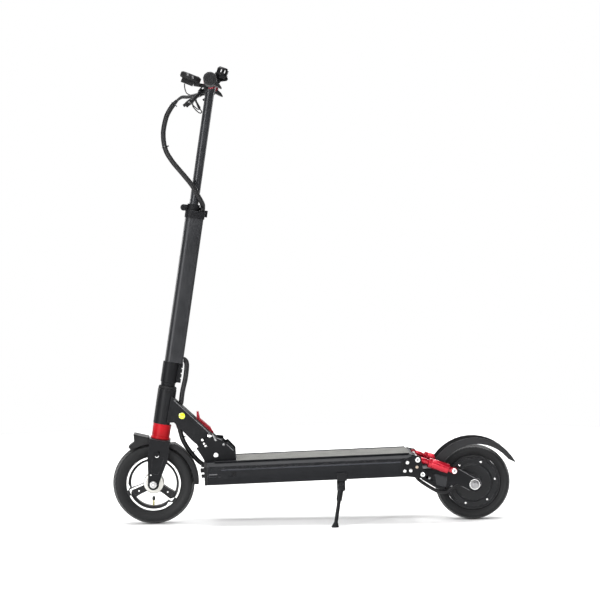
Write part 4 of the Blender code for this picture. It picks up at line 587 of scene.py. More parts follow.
# name, place, what it looks at, width, height, watts
SOFTBOXES = (
    ("key", (-1.9, -3.2, 3.2), (0, 0, 0.4), 2.2, 1.6, 40),
    ("fill", (3.0, -3.0, 1.8), (0, 0, 0.4), 1.2, 1.8, 14),
    ("top", (0.0, 0.2, 4.2), (0, 0, 0.2), 3.8, 2.6, 270),
    ("back", (0.3, 4.0, 2.2), (0, 0, 0.1), 4.4, 0.8, 90),
    ("rear_left", (-3.2, 2.6, 1.0), (-0.1, -0.1, 0.05), 1.8, 0.6, 38),
    ("rear_right", (3.2, 2.6, 1.0), (0.1, -0.1, 0.05), 1.8, 0.6, 38),
    ("strip", (-2.3, -2.7, 0.95), (-0.1, 0, 0.55), 0.2, 2.4, 95),
    ("low", (0.2, -2.0, 0.06), (0.1, 0, 0.06), 2.6, 0.1, 9),
    ("brow", (0.3, -2.4, 2.3), (0.1, 0, 0.2), 3.0, 0.3, 40),
)


def make_camera():
    """The photograph's camera, as fitted to it."""
    yaw, pitch, roll = (radians(turn) for turn in CAMERA_TURN)
    ahead = Vector((sin(yaw) * cos(pitch), cos(yaw) * cos(pitch), -sin(pitch)))
    level = Vector((cos(yaw), -sin(yaw), 0))
    over = level.cross(ahead)
    right = level * cos(roll) + over * sin(roll)
    up = over * cos(roll) - level * sin(roll)
    data = bpy.data.cameras.new("camera")
    data.sensor_width = SENSOR_MM
    data.lens = LENS_MM
    data.clip_end = 200
    camera = linked("camera", data)
    camera.matrix_world = Matrix((right, up, -ahead)).transposed().to_4x4()
    camera.location = CAMERA_SPOT
    bpy.context.scene.camera = camera


def softbox(name, spot, target, wide, tall, watts):
    data = bpy.data.lights.new(name, "AREA")
    data.shape = "RECTANGLE"
    data.size = wide
    data.size_y = tall
    data.energy = watts
    lamp = linked(name, data)
    look = Vector(target) - Vector(spot)
    lamp.visible_camera = False
    lamp.matrix_world = Matrix.Translation(spot) @ look.to_track_quat("-Z", "Y").to_matrix().to_4x4()


def make_floor():
    floor = bpy.data.meshes.new("floor")
    form = bmesh.new()
    bmesh.ops.create_circle(form, cap_ends=True, segments=96, radius=FLOOR_RADIUS)
    form.to_mesh(floor)
    form.free()
    sheet = linked("floor", floor)
    mat = bpy.data.materials.new("pale_floor")
    mat.use_nodes = True
    tree = mat.node_tree
    shader = tree.nodes["Principled BSDF"]
    tone = blend_colour(tree, noise(tree, place(tree), 3.0), *FLOOR_TONES)
    tree.links.new(tone, shader.inputs["Base Color"])
    shader.inputs["Roughness"].default_value = 0.9
    shader.inputs["Specular IOR Level"].default_value = 0.1
    floor.materials.append(mat)


def make_light():
    """The softboxes and a pale sky, which is dimmer for the scooter than for the camera."""
    for box in SOFTBOXES:
        softbox(*box)
    world = bpy.data.worlds.new("studio")
    bpy.context.scene.world = world
    world.use_nodes = True
    tree = world.node_tree
    seen = node(tree, "ShaderNodeLightPath").outputs["Is Camera Ray"]
    backdrop = tree.nodes["Background"]
    backdrop.inputs["Color"].default_value = (1, 1, 1, 1)
    tree.links.new(spread(tree, seen, AMBIENT, BACKDROP, 0.0, 1.0), backdrop.inputs["Strength"])
    bpy.context.scene.view_settings.view_transform = "Standard"


# Wheels

FRONT_BEAD, REAR_BEAD = 0.0738, 0.0745
SPOKE_TURNS = (87, 207, 327)
COVER_SCREWS, COVER_SCREW_TURN, COVER_SCREW_R = 6, 9.1, 0.058


def tyre(name, source, rim, body, tread, relief):
    """The tyre's section on a smooth curve from bead to bead, with its tread cut in."""
    low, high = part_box(source)
    outer = (high.z - low.z) / 2 - 0.0001
    half = (high.y - low.y) / 2
    tall = outer - rim
    side = [
        (outer - 0.0012, tread * 0.75), (outer - 0.0032, tread * 1.15), (outer - 0.22 * tall, half - 0.0028),
        (outer - 0.46 * tall, half - 0.0003), (outer - 0.66 * tall, half - 0.0016),
        (outer - 0.86 * tall, half - 0.0052), (rim + 0.0004, half - 0.0072), (rim - 0.002, half - 0.01),
    ]
    section = [(r, -y) for r, y in reversed(side)] + [(outer, 0.0)] + side
    smooth = [(p[0], p[1]) for p in flowing([(r, y, 0) for r, y in section], 5)]

    def cut(radius, height, angle):
        return relief(radius, height, angle, outer, rim)

    mesh = lathe(smooth, 360, True, relief=cut)
    return piece(name, mesh, body, TYRE, Matrix.Translation(middle(source)) @ ALONG_Y, (source,), 50)


def groove(distance, width, deep):
    """A rounded groove's depth at a distance from its middle."""
    share = abs(distance) / (width / 2)
    return -deep * cos(share * pi / 2) if share < 1 else 0.0


def front_relief(radius, y, angle, outer, rim):
    """Rings on the side wall, slanted cuts on the shoulders and two wavy grooves on the tread."""
    pitch, slant, waves = 7.5, 420, 30  # degrees from cut to cut, degrees a metre, waves a turn
    cut = groove(radius - (rim + 0.0075), 0.002, 0.0005) - groove(radius - (rim + 0.015), 0.0026, 0.0006)
    if radius > outer - 0.01:
        lean = angle * 180 / pi + abs(y) * slant * (1 if y > 0 else -1)
        if abs(y) > 0.0075:
            cut += groove((lean % pitch) - pitch / 2, 2.4, 0.0016)
        cut += groove(abs(y) - 0.0055 - 0.001 * sin(angle * waves), 0.0022, 0.0015)
    return cut


def rear_relief(radius, y, angle, outer, rim):
    """A ring on the side wall, square cuts on the shoulders and two grooves on the tread."""
    pitch = 5  # degrees from cut to cut
    cut = -groove(radius - (rim + 0.011), 0.0022, 0.0005)
    if radius > outer - 0.0135 and abs(y) > 0.014:
        cut += groove((angle * 180 / pi % pitch) - pitch / 2, 1.8, 0.0012)
    if radius > outer - 0.004:
        cut += groove(abs(y) - 0.008, 0.0026, 0.0014)
    return cut


def swirl_band(side):
    """One bright machined band: out along a spoke, then round the rim to the next one."""
    face, dish = -0.0207, -0.0168
    inner_r, outer_r = 0.0669, 0.071
    pairs = [
        ((0.0262, dish, -0.0088), (0.0246, dish, -0.0122)), ((0.04, dish, -0.0098), (0.039, dish, -0.0134)),
        ((0.0585, dish, -0.0112), (0.057, dish - 0.0006, -0.015)),
        ((0.0632, dish - 0.001, -0.007), (0.0672, face + 0.0012, -0.014)),
    ]
    sweep = [(degrees, inner_r) for degrees in range(0, 96, 3)]
    sweep += [(98, 0.064), (101, 0.0628), (104, 0.0665), (107.5, 0.0702)]
    for degrees, start in sweep:
        angle = radians(degrees)
        pairs.append([(r * cos(angle), face, r * sin(angle)) for r in (start, outer_r)])
    mesh = ribbon(pairs, 0.0008)
    if side > 0:
        mesh.transform(Matrix.Scale(-1, 4, (0, 1, 0)))
        mesh.flip_normals()
    return mesh


def make_front_wheel():
    """The tyre, the rim's barrel, its three spokes and hub, the valve and the axle's nuts."""
    body = "front_wheel"
    hub_at = Matrix.Translation(FRONT)
    tyre("front_tyre_tread", "front_tyre", FRONT_BEAD, body, 0.011, front_relief)
    lip = 0.0205
    barrel = [
        (FRONT_BEAD, lip - 0.0004), (0.0734, lip), (0.0664, lip), (0.066, lip - 0.001), (0.0655, 0.013),
        (0.0602, 0.0112), (0.0598, 0.01),
    ]
    barrel += [(r, -y) for r, y in reversed(barrel)]
    barrel += [(0.0712, -lip + 0.0036), (0.0712, lip - 0.0036)]
    way = hub_at @ ALONG_Y
    piece("rim_barrel", lathe(barrel, 160, True), body, RIM_BLACK, way, ("front_rim",))
    spoke = [(0.0235, -0.01), (0.04, -0.012), (0.056, -0.0162), (0.0612, -0.013), (0.0622, 0.0)]
    spoke += [(0.0612, 0.0095), (0.056, 0.01), (0.042, 0.0092), (0.0235, 0.0098)]
    pocket = [
        (0.0315, -0.0045, 0), (0.042, -0.006, 0), (0.056, -0.007, 0), (0.0575, 0.0, 0), (0.054, 0.0062, 0),
        (0.042, 0.0052, 0), (0.0315, 0.005, 0),
    ]
    pocket = [(p.x, p.y) for p in flowing(pocket, 4, True)]
    for k, degrees in enumerate(SPOKE_TURNS):
        way = hub_at @ SIDE_VIEW @ Matrix.Rotation(radians(degrees), 4, "Z")
        piece(f"spoke_core_{k}", slab(spoke, 0.024), body, RIM_BLACK, way, bevel=0.0006)
        for side, word in SIDES.items():
            plate = slab(spoke, 0.004, [pocket])
            lift = at(0, 0, -side * 0.014)
            piece(f"spoke_face_{word}_{k}", plate, body, RIM_BLACK, way @ lift, bevel=0.0007)
            turned = hub_at @ Matrix.Rotation(-radians(degrees), 4, "Y")
            piece(f"rim_band_{word}_{k}", swirl_band(side), body, RIM_BRIGHT, turned)
            spot = way @ Vector((0.0436, 0, -side * 0.0118))
            bolt(f"spoke_screw_{word}_{k}", spot, (0, side, 0), 0.0024, 0.0016, body)
    hub = [
        (0.01, 0.0176), (0.015, 0.0178), (0.019, 0.0176), (0.02, 0.0168), (0.024, 0.0166), (0.0262, 0.0158),
        (0.0272, 0.0146), (0.0272, 0.012), (0.0258, 0.01),
    ]
    hub += [(r, -y) for r, y in reversed(hub)]
    piece("rim_hub", lathe(hub, 96, True), body, HUB_METAL, hub_at @ ALONG_Y)
    make_valve()
    keep("front_hub_bearings", STEEL)
    keep("front_axle", DARK_STEEL)
    for side, word in SIDES.items():
        spot = FRONT + Vector((0, side * 0.0452, 0))
        nut(f"front_nut_{word}", spot, (0, side, 0), 0.015, 0.008, "fork", 0.006)


def make_valve():
    """The front tyre's valve and its knurled cap."""
    body = "front_wheel"
    stem = [(0, 0.017), (0.0019, 0.017), (0.0022, 0.016), (0.0022, 0.01), (0.0028, 0.0096)]
    stem += [(0.003, 0.006), (0.0024, 0.0054), (0.0024, 0.0), (0, 0.0)]
    foot = FRONT + Vector((-0.0015, -0.004, -0.06))
    way = facing(foot, (0.05, -0.22, 1.0))
    piece("tyre_valve", lathe(stem, 32), body, STRAW, way)
    cap = [(0, 0.0262), (0.0022, 0.026), (0.0034, 0.0246), (0.004, 0.022)]
    cap += [(0.004, 0.0168), (0.0034, 0.0158), (0, 0.0158)]

    def knurl(radius, height, angle):
        return 0.0003 * cos(20 * angle) if radius > 0.0036 else 0.0

    piece("valve_cap", lathe(cap, 60, relief=knurl), body, GLOSS, way, angle=50)


def make_rear_wheel():
    """The solid tyre, the hub motor's shell and cover with its screws, and the axle's ends."""
    body = "rear_wheel"
    hub_at = Matrix.Translation(REAR) @ ALONG_Y
    tyre("rear_tyre_tread", "rear_tyre", REAR_BEAD, body, 0.015, rear_relief)
    shell = [
        (0.0719, 0.016), (0.0712, 0.0182), (0.064, 0.025), (0.062, 0.0252), (0.056, 0.0262), (0.054, 0.0272),
        (0.022, 0.0289), (0.02, 0.0289), (0.009, 0.0289), (0.009, 0.0184), (0.064, 0.0184), (0.064, -0.0198),
        (0.0712, -0.02), (0.0719, -0.019),
    ]
    piece("hub_shell", lathe(shell, 120, True), body, MOTOR, hub_at, ("motor_shell",))
    cover = [
        (0.066, -0.0204), (0.0658, -0.0228), (0.0648, -0.0236), (0.064, -0.023), (0.063, -0.0238),
        (0.052, -0.0246), (0.05, -0.0268), (0.0475, -0.029), (0.0462, -0.0292), (0.045, -0.0284),
        (0.023, -0.0292), (0.0215, -0.031), (0.018, -0.0312), (0.0088, -0.0312), (0.0088, -0.0204),
    ]
    piece("hub_cover", lathe(cover, 120, True), body, MOTOR, hub_at, ("motor_cover",))
    for k in range(COVER_SCREWS):
        angle = radians(COVER_SCREW_TURN + 360 / COVER_SCREWS * k)
        spot = REAR + Vector((COVER_SCREW_R * cos(angle), -0.0238, COVER_SCREW_R * sin(angle)))
        seat = [(0, 0.001), (0.005, 0.001), (0.0058, 0.0), (0, 0.0)]
        piece(f"cover_boss_{k}", lathe(seat, 32), body, MOTOR, facing(spot, (0, -1, 0)))
        bolt(f"cover_screw_{k}", spot + Vector((0, -0.0008, 0)), (0, -1, 0), 0.0029, 0.0022, body)
    keep("motor_axle", DARK_STEEL)
    body = "swingarm"
    for side, word in SIDES.items():
        spot = REAR + Vector((0, side * 0.0664, 0))
        way = facing(spot, (0, side, 0))
        washer = [(0, 0.0), (0.014, 0.0), (0.014, 0.0012), (0.0132, 0.0018), (0.0122, 0.0018)]
        washer += [(0.0116, 0.0012), (0, 0.001)]
        piece(f"rear_washer_{word}", lathe(washer, 64), body, STEEL, way)
        seat = [(0, 0.0008), (0.0112, 0.001), (0.011, 0.0022), (0.0098, 0.0026), (0, 0.0026)]
        piece(f"rear_seat_{word}", lathe(seat, 64), body, SCREEN, way)
        spot += Vector((0, side * 0.002, 0))
        nut(f"rear_nut_{word}", spot, (0, side, 0), 0.0126, 0.007, body, 0.0072)


def dress_all():
    """Stands for the rigid CAD nodes, and materials for those that are kept as they are."""
    for mat, slot, bevel, *sources in (
        (DECK_BLACK, "deck_metal", 0.0005, "deck_extrusion"),
        (PLASTIC, "black_plastic", 0.0006, "deck_front_cap", "front_fender"),
        (PLASTIC, "black_plastic", 0.0005, "display_housing"),
        (PLASTIC, "black_plastic", 0.0004, "headset_cap"),
        (PLASTIC, "black_plastic", 0.0, "throttle_trigger"),
        (FENDER, "black_plastic", 0.0006, "rear_fender"),
        (CAST, "frame_paint", 0.001, "fork"),
        (CAST, "frame_paint", 0.0008, "hinge_bracket", "rear_bracket", "swingarm"),
        (CAST, "frame_paint", 0.0006, "steerer", "stem_clamp"),
        (PAINT, "frame_paint", 0.0008, "neck", "clamp_lever"),
        (PAINT, "frame_paint", 0.0006, "kickstand_bracket", "left_lever_mount", "right_lever_mount"),
        (PAINT, "frame_paint", 0.0006, "left_brake_lever", "right_brake_lever"),
        (PAINT, "frame_paint", 0.0005, "kickstand_leg"),
        (STEM_BLACK, "stem_metal", 0.0004, "lower_stem"),
        (BAR_BLACK, "stem_metal", 0.0004, "upper_stem"),
        (BAR_BLACK, "bar_metal", 0.0004, "left_bar", "right_bar"),
        (SOFT_RUBBER, "rubber", 0.001, "left_grip", "right_grip"),
        (BELL_BLACK, "gloss_black", 0.0005, "bell_body"),
        (STEEL, "steel", 0.0003, "bell_striker"),
        (RED_LEVER, "red_metal", 0.0008, "fold_lever"),
        (RED_METAL, "red_metal", 0.0005, "left_shock_body", "right_shock_body"),
        (RED_METAL, "red_metal", 0.0004, "left_shock_rod", "right_shock_rod"),
    ):
        for source in sources:
            dress(source, mat, bevel)
    for mat, *sources in (
        (WRAP, "battery_pack"),
        (CASE, "controller"),
        (TAPE, "grip_tape"),
        (STEEL, "fold_pivot_bolt", "shock_top_bolt", "swingarm_pivot_bolt"),
        (DARK_STEEL, "lower_headset_bearing", "upper_headset_bearing"),
        (GREY_KEY, "power_button", "mode_button"),
    ):
        for source in sources:
            keep(source, mat)


BOOT_LOW, BOOT_HIGH = 0.1184, 0.1583
SPRING_LOW, SPRING_HIGH = 0.1918, 0.2603
SPRING_TURNS, SPRING_STEPS, SPRING_R, WIRE_R = 9, 20, 0.008, 0.0013


def make_boot():
    """The red boot over the fork's slider."""
    low, high = BOOT_LOW, BOOT_HIGH
    profile = [
        (0.0208, high), (0.0236, high), (0.0241, high - 0.0008), (0.0241, high - 0.003),
        (0.0235, high - 0.0038), (0.0238, high - 0.008), (0.0239, low + 0.0104), (0.0233, low + 0.0096),
        (0.024, low + 0.0088), (0.0243, low + 0.0066), (0.0254, low + 0.004), (0.0259, low + 0.0026),
        (0.0259, low + 0.0008), (0.0252, low), (0.0208, low), (0.0208, low + 0.01),
    ]
    mesh = lathe(profile, 96, True)
    made = piece("fork_boot", mesh, "steering", RED_RUBBER, STEER, ("suspension_boot",))
    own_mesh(made)


def make_spring():
    """The coil in the steerer."""
    base = SPRING_LOW
    last = SPRING_TURNS * SPRING_STEPS
    route = []
    for i in range(last + 1):
        angle = tau * i / SPRING_STEPS
        height = base + (SPRING_HIGH - base) * (i / last)
        route.append(STEER @ Vector((SPRING_R * cos(angle), SPRING_R * sin(angle), height)))
    made = piece("fork_spring", tube(route, WIRE_R, 10), "fork", STEEL, None, ("front_spring",))
    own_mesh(made)


def cable(name, ways, radius, source, sides=18):
    """A cable that stands for a CAD node, along its route from start to end."""
    mesh = tube(flowing(ways, ROUTE_STEPS), radius, sides)
    made = piece(name, mesh, None, JACKET, None, (source,), 40)
    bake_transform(made)


def column_ways(points, high):
    """Points given across, aside and along the steering axis, from a height on it."""
    return [STEER @ Vector((x, y, high + s)) for x, y, s in points]


def make_loom():
    """The handlebar's loom: three strands that run into one sleeve, which ends at the clamp."""
    cross = [
        (-0.0129, 0, -0.028), (-0.0209, 0, -0.028), (-0.032, 0, -0.0325), (-0.044, 0, -0.0375),
        (-0.058, 0, -0.0425), (-0.072, 0, -0.0455), (-0.087, 0, -0.0625), (-0.0985, 0, -0.085),
        (-0.1048, -0.003, -0.109), (-0.1053, -0.01, -0.149), (-0.0935, -0.02, -0.1875),
        (-0.0707, -0.026, -0.2165), (-0.0394, -0.027, -0.2445), (-0.0105, -0.0265, -0.2715),
    ]
    clamp = [(0.009, -0.022, 0.046), (0.0215, -0.01, 0.029), (0.0243, 0, 0.019), (0.0243, 0, 0.0078)]
    ways = column_ways(cross, CROSS_HIGH) + column_ways(clamp, CLAMP_HIGH)
    line = flowing(ways, ROUTE_STEPS)
    cut = 68  # the sleeve takes over from the strands here
    overlap = cut + 8

    def swell(share):
        return min(1.0, 0.62 + 6.0 * share)

    sleeve = tube(line[cut:], LOOM_R, 18, swell)
    made = piece("handlebar_loom", sleeve, None, JACKET, None, ("handlebar_cable",), 40)
    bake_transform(made)
    # The strands draw together over their last 20 points
    for k, (dy, dz) in enumerate(((-0.003, 0.0012), (0.003, 0.001), (0.0, -0.0028))):
        gather = [min(1.0, (overlap - i) / 20) for i in range(overlap)]
        strand = [spot + Vector((0, dy, dz)) * share for spot, share in zip(line, gather)]
        made = piece(f"loom_strand_{k}", tube(strand, STRAND_R, 12), None, GLOSS, angle=40)
        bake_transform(made)
    for k, i in enumerate((cut + 6, 118)):  # places on the line
        tie_band(f"loom_tie_{k}", line[i], line[i + 1] - line[i - 1], LOOM_R + 0.0003)


def make_cables():
    """The stem's, the neck's and the motor's lead, each between its two glands."""
    stem, back = 0.3243, 0.0306
    ways = column_ways(
        [
            (back + 0.0006, 0, 0.01), (back + 0.0033, 0, 0.01), (back + 0.0084, 0, 0.005),
            (back + 0.0114, 0, -0.006), (back + 0.0124, 0, -0.025), (back + 0.0124, 0, -0.042),
            (back + 0.0108, 0, -0.06), (back + 0.0098, 0, -0.08), (0.0408, 0, 0.2212 - stem),
            (0.0388, 0, 0.2184 - stem),
        ],
        stem,
    )
    cable("stem_lead", ways, STEM_LEAD_R, "stem_cable")

    gland = -0.0125
    nose = DECK @ Vector((NOSE_X - 0.0007, 0, gland))
    bend = (
        (-0.06, 0.13), (-0.0684, 0.114), (-0.0633, 0.0935), (-0.056, 0.0672), (-0.0455, 0.0465),
        (-0.0323, 0.028), (-0.0165, 0.01),
    )
    ways = [nose + Vector((x, 0, z)) for x, z in bend]
    ways += [DECK @ Vector((NOSE_X - 0.0045, 0, gland)), nose]
    cable("neck_lead", ways, NECK_LEAD_R, "neck_cable")
    line = flowing(ways, ROUTE_STEPS)
    for k, i in enumerate((34, 60)):  # places on the line
        tie_band(f"neck_tie_{k}", line[i], line[i + 1] - line[i - 1], NECK_LEAD_R + 0.0002)

    arm, tail = 0.058, 0.2581
    ways = [DECK @ Vector((tail + x, 0.008 - arm, -0.0525)) for x in (0.0005, 0.0035)]
    bend = (
        (0.2695, 0.006, 0.118), (0.2785, 0.001, 0.1092), (0.292, -0.003, 0.1), (0.315, -0.005, 0.086),
        (0.332, -0.004, 0.0798), (0.348, 0, 0.08), (0.364, 0.008, 0.088), (0.382, 0.011, 0.096),
        (0.4042, 0.0115, 0.0995), (0.4122, 0.0115, 0.0995),
    )
    ways += [Vector((x, y - arm, z)) for x, y, z in bend]
    cable("motor_lead", ways, MOTOR_LEAD_R, "motor_cable", 14)


def tie_band(name, spot, along, radius):
    """A cable tie round a loom, with its square head."""
    ring = [(radius, 0.0013), (radius + 0.001, 0.0011), (radius + 0.001, -0.0011), (radius, -0.0013)]
    frame_here = facing(spot, along)
    made = piece(name, lathe(ring, 32, True), None, GLOSS, frame_here)
    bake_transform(made)
    head = slab([(-0.002, -0.0016), (0.002, -0.0016), (0.002, 0.0016), (-0.002, 0.0016)], 0.0034)
    out = frame_here.inverted().to_3x3() @ Vector((1, 0, 0.2))
    out.z = 0
    beside = frame_here @ Matrix.Translation(out.normalized() * (radius + 0.0018))
    made = piece(f"{name}_head", head, None, GLOSS, beside, bevel=0.0004)
    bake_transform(made)


# Hardware, set on the faces that carry it

TREES = {}
TRIM_THICK = 0.0005


def skin(sources, x, z, side=-1):
    """The outermost place of these CAD nodes at x and z, from the near or the far side, and its normal."""
    best = None
    for source in sources if isinstance(sources, tuple) else (sources,):
        if source not in TREES:
            mesh = frame["nodes"][source].data
            TREES[source] = BVHTree.FromPolygons(
                [v.co for v in mesh.vertices], [p.vertices for p in mesh.polygons]
            )
        spot, normal, _, _ = TREES[source].ray_cast(Vector((x, side * 1.0, z)), Vector((0, -side, 0)))
        if spot and (best is None or side * spot.y > side * best[0].y):
            best = (spot, normal)
    return best


def screw(name, sources, x, z, radius, body, mat=None, tall=0.0022):
    """A screw on each side face of a CAD node."""
    for side, word in SIDES.items():
        spot = skin(sources, x, z, side)[0]
        bolt(f"{name}_{word}", spot, (0, side, 0), radius, tall, body, mat)


def flange(name, sources, x, z, outer, inner, tall, body):
    """A bright washer round a dark socket head, on each side."""
    for side, word in SIDES.items():
        way = facing(skin(sources, x, z, side)[0], (0, side, 0))
        ring = [(inner, -0.0006), (inner, tall * 0.8), (inner + 0.0004, tall), (outer - 0.0008, tall)]
        ring += [(outer, tall * 0.6), (outer, -0.0006)]
        piece(f"{name}_ring_{word}", lathe(ring, 56, True), body, STEEL, way)
        cap = [
            (0, tall * 0.2), (inner * 0.45, tall * 0.2), (inner * 0.5, tall * 0.9), (inner * 0.8, tall * 0.9),
        ]
        cap += [(inner * 0.98, tall * 0.5), (inner * 0.98, -0.0004), (0, -0.0004)]
        piece(f"{name}_core_{word}", lathe(cap, 48, hexes=(1, 2)), body, DARK_STEEL, way)


def trim(name, sources, ways, width, body, mat):
    """A narrow strip that follows a line on each side face: a machined edge on the neck and the bracket, a
    painted highlight line on the swing arm.
    """
    line = flowing([(x, 0, z) for x, z in ways], 8)
    last = len(line) - 1
    for side, word in SIDES.items():
        pairs = []
        for i, spot in enumerate(line):
            ahead = (line[min(i + 1, last)] - line[max(i - 1, 0)]).normalized()
            x, z = -ahead.z * width / 2, ahead.x * width / 2
            found = skin(sources, spot.x, spot.z, side)
            if found:
                y = found[0].y + side * 0.00005
                pairs.append(((spot.x - x, y, spot.z - z), (spot.x + x, y, spot.z + z)))
        piece(f"{name}_{word}", ribbon(pairs, side * TRIM_THICK), body, mat)


def make_neck_hardware():
    """Reflectors, the hinge's screws, machined edges, and on each side of the fork a black dish of painted
    shade where its hole is, with a painted glint in it.
    """
    for side, word in SIDES.items():
        spot, normal = skin("neck", -0.3463, 0.2866, side)
        cup = [
            (0, 0.0), (0.0106, 0.0), (0.0106, 0.0022), (0.01, 0.003), (0.009, 0.0026), (0.0086, 0.0018),
            (0, 0.0018),
        ]
        way = facing(spot, normal)
        piece(f"reflector_cup_{word}", lathe(cup, 64), "neck", PLASTIC, way)
        lens = [(0, 0.0035), (0.003, 0.0034), (0.006, 0.003), (0.0082, 0.0022), (0.0084, 0.0016), (0, 0.0016)]
        piece(f"reflector_lens_{word}", lathe(lens, 64), "neck", REFLECTOR, way)
    bracket = "hinge_bracket"
    both = ("neck", bracket)
    for name, sources, body, mat, width, *ways in (
        ("neck_edge", "neck", "neck", MACHINED_AND_HIGHLIGHT, 0.0016, (-0.3673, 0.3278), (-0.32, 0.2834), (-0.2725, 0.2389)),
        (
            "latch_plate", both, "deck", DARK_STEEL, 0.0042, (-0.2676, 0.2368), (-0.2622, 0.2292),
            (-0.2575, 0.2215),
        ),
        ("tongue_edge", bracket, "deck", MACHINED_AND_HIGHLIGHT, 0.0018, (-0.2565, 0.2288), (-0.249, 0.2262), (-0.2417, 0.2232)),
        ("block_edge", bracket, "deck", MACHINED_AND_HIGHLIGHT, 0.0013, (-0.23, 0.212), (-0.22, 0.203), (-0.212, 0.195)),
    ):
        trim(name, sources, ways, width, body, mat)
    screw("guide_screw_a", both, -0.2932, 0.2244, 0.0036, "deck")
    screw("guide_screw_b", both, -0.2891, 0.2148, 0.003, "deck")
    screw("guide_screw_c", both, -0.2855, 0.209, 0.0038, "deck")
    screw("bracket_screw", bracket, -0.2375, 0.2117, 0.0034, "deck", DARK_STEEL)
    screw("lever_screw", ("neck", "fold_lever"), -0.2745, 0.2338, 0.0058, "fold_lever", tall=0.003)
    screw("fork_screw", "fork", -0.43, 0.1335, 0.0022, "fork", tall=0.0012)
    for side, word in SIDES.items():
        spot = skin("fork", -0.4129, 0.1852, side)[0]
        # A black dish stands for the dark hole in the fork leg: painted shade.
        dish = [
            (0, -0.0004), (0.004, -0.0002), (0.0062, 0.0004), (0.007, 0.0012), (0.008, 0.0012), (0.0086, 0.0),
            (0, -0.001),
        ]
        piece(f"fork_hole_shade_{word}", lathe(dish, 48), "fork", BELL_BLACK, facing(spot, (0, side, 0)))
        # Painted glint: a bright steel crescent in the dish, for the bright rim seen through the hole.
        glint = arc(0.0058, 196, 344, 14) + arc(0.004, 330, 210, 12, 0, -0.0007)
        lower = at(spot.x, spot.y + side * 0.0006, spot.z) @ SIDE_VIEW
        piece(f"fork_painted_glint_{word}", slab(glint, 0.0008), "fork", STEEL, lower)


# Lines along the swing arm's edges where light strips are laid: painted highlights.
ARM_HIGHLIGHT_LINES = (
    [(0.378, 0.1405), (0.3975, 0.1293), (0.42, 0.1165), (0.4305, 0.114), (0.4362, 0.1052), (0.4378, 0.0965)],
    [(0.3737, 0.099), (0.3901, 0.093), (0.407, 0.0838)],
)


def make_rear_hardware():
    """The screws of the rear bracket, the linkage's pivots and the painted highlight lines along the swing
    arm's edges.
    """
    plates = ("rear_bracket", "deck_extrusion")
    for k, (x, z) in enumerate(((0.2412, 0.1631), (0.2342, 0.1414), (0.2499, 0.142))):
        screw(f"tail_screw_{k}", plates, x, z, 0.0048, "deck", tall=0.0026)
    screw("tail_pin", plates, 0.2665, 0.1509, 0.0042, "deck", BRONZE, 0.0024)
    flange("shock_top", ("shock_top_bolt", "rear_bracket"), 0.2682, 0.17, 0.0066, 0.003, 0.0016, "deck")
    upper = ("swingarm_pivot_bolt", "rear_bracket")
    flange("arm_pivot", upper, 0.2812, 0.1318, 0.0062, 0.0026, 0.0016, "deck")
    lower = ("swingarm", "left_shock_body", "right_shock_body")
    flange("shock_low", lower, 0.3649, 0.1381, 0.0068, 0.003, 0.0022, "swingarm")
    # Painted highlights: light strips along the swing arm's edges.
    for k, ways in enumerate(ARM_HIGHLIGHT_LINES):
        trim(f"arm_edge_{k}", "swingarm", ways, 0.0009, "swingarm", MACHINED_AND_HIGHLIGHT)
    screw("arm_screw", "swingarm", 0.3013, 0.1177, 0.0032, "swingarm", DARK_STEEL, 0.001)
    for side, word in SIDES.items():
        y = skin("swingarm", 0.33, 0.112, side)[0].y
        pad = slab([(0.3145, 0.13), (0.348, 0.119), (0.344, 0.0945), (0.32, 0.1)], 0.0014)
        way = at(0, y, 0) @ SIDE_VIEW
        piece(f"arm_pad_{word}", pad, "swingarm", STEM_BLACK, way, bevel=0.0005)


RAIL_RUN = (-0.245, 0.0235, 21)  # start, step and count


def deck_line(start, step, count, y, z):
    """Evenly spaced points along the deck."""
    return [DECK @ Vector((start + step * i, y, z)) for i in range(count)]


def make_deck_details():
    """The rail, a ridge whose lighter colour is a painted highlight, and the line on the deck's sides, the
    nose's slots, the tape's lips and the charge port.
    """
    tape_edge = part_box("grip_tape")[1].y
    for side, word in SIDES.items():
        # Painted highlight: the rail's lighter colour stands in for the light along the ridge.
        rail = deck_line(*RAIL_RUN, side * DECK_SIDE, -0.0208)
        piece(f"deck_rail_{word}", tube(rail, 0.0017, 12), "deck", RAIL_WITH_HIGHLIGHT)
        line = deck_line(*RAIL_RUN, side * DECK_SIDE, -0.0419)
        piece(f"deck_line_{word}", tube(line, 0.0006, 12), "deck", DECK_BLACK)
        pin = deck_line(-0.277, 0.0068, 4, side * 0.0905, -0.0312)
        piece(f"nose_pin_{word}", tube(pin, 0.0018, 14), "deck", MACHINED_AND_HIGHLIGHT)
        lip = deck_line(-0.262, 0.02545, 21, side * (tape_edge + 0.002), 0.0004)
        piece(f"deck_lip_{word}", tube(lip, 0.0016, 12), "deck", DECK_BLACK)
    port = [(0, -0.0004), (0.0034, -0.0004), (0.004, 0.0008), (0.0056, 0.001), (0.0062, 0.0), (0, -0.0012)]
    spot = DECK @ Vector((-0.213, -0.092, -0.032))
    piece("charge_port_cap", lathe(port, 48), "deck", BELL_BLACK, facing(spot, (0, -1, 0)))


SLEEVE_BORE = 0.0114


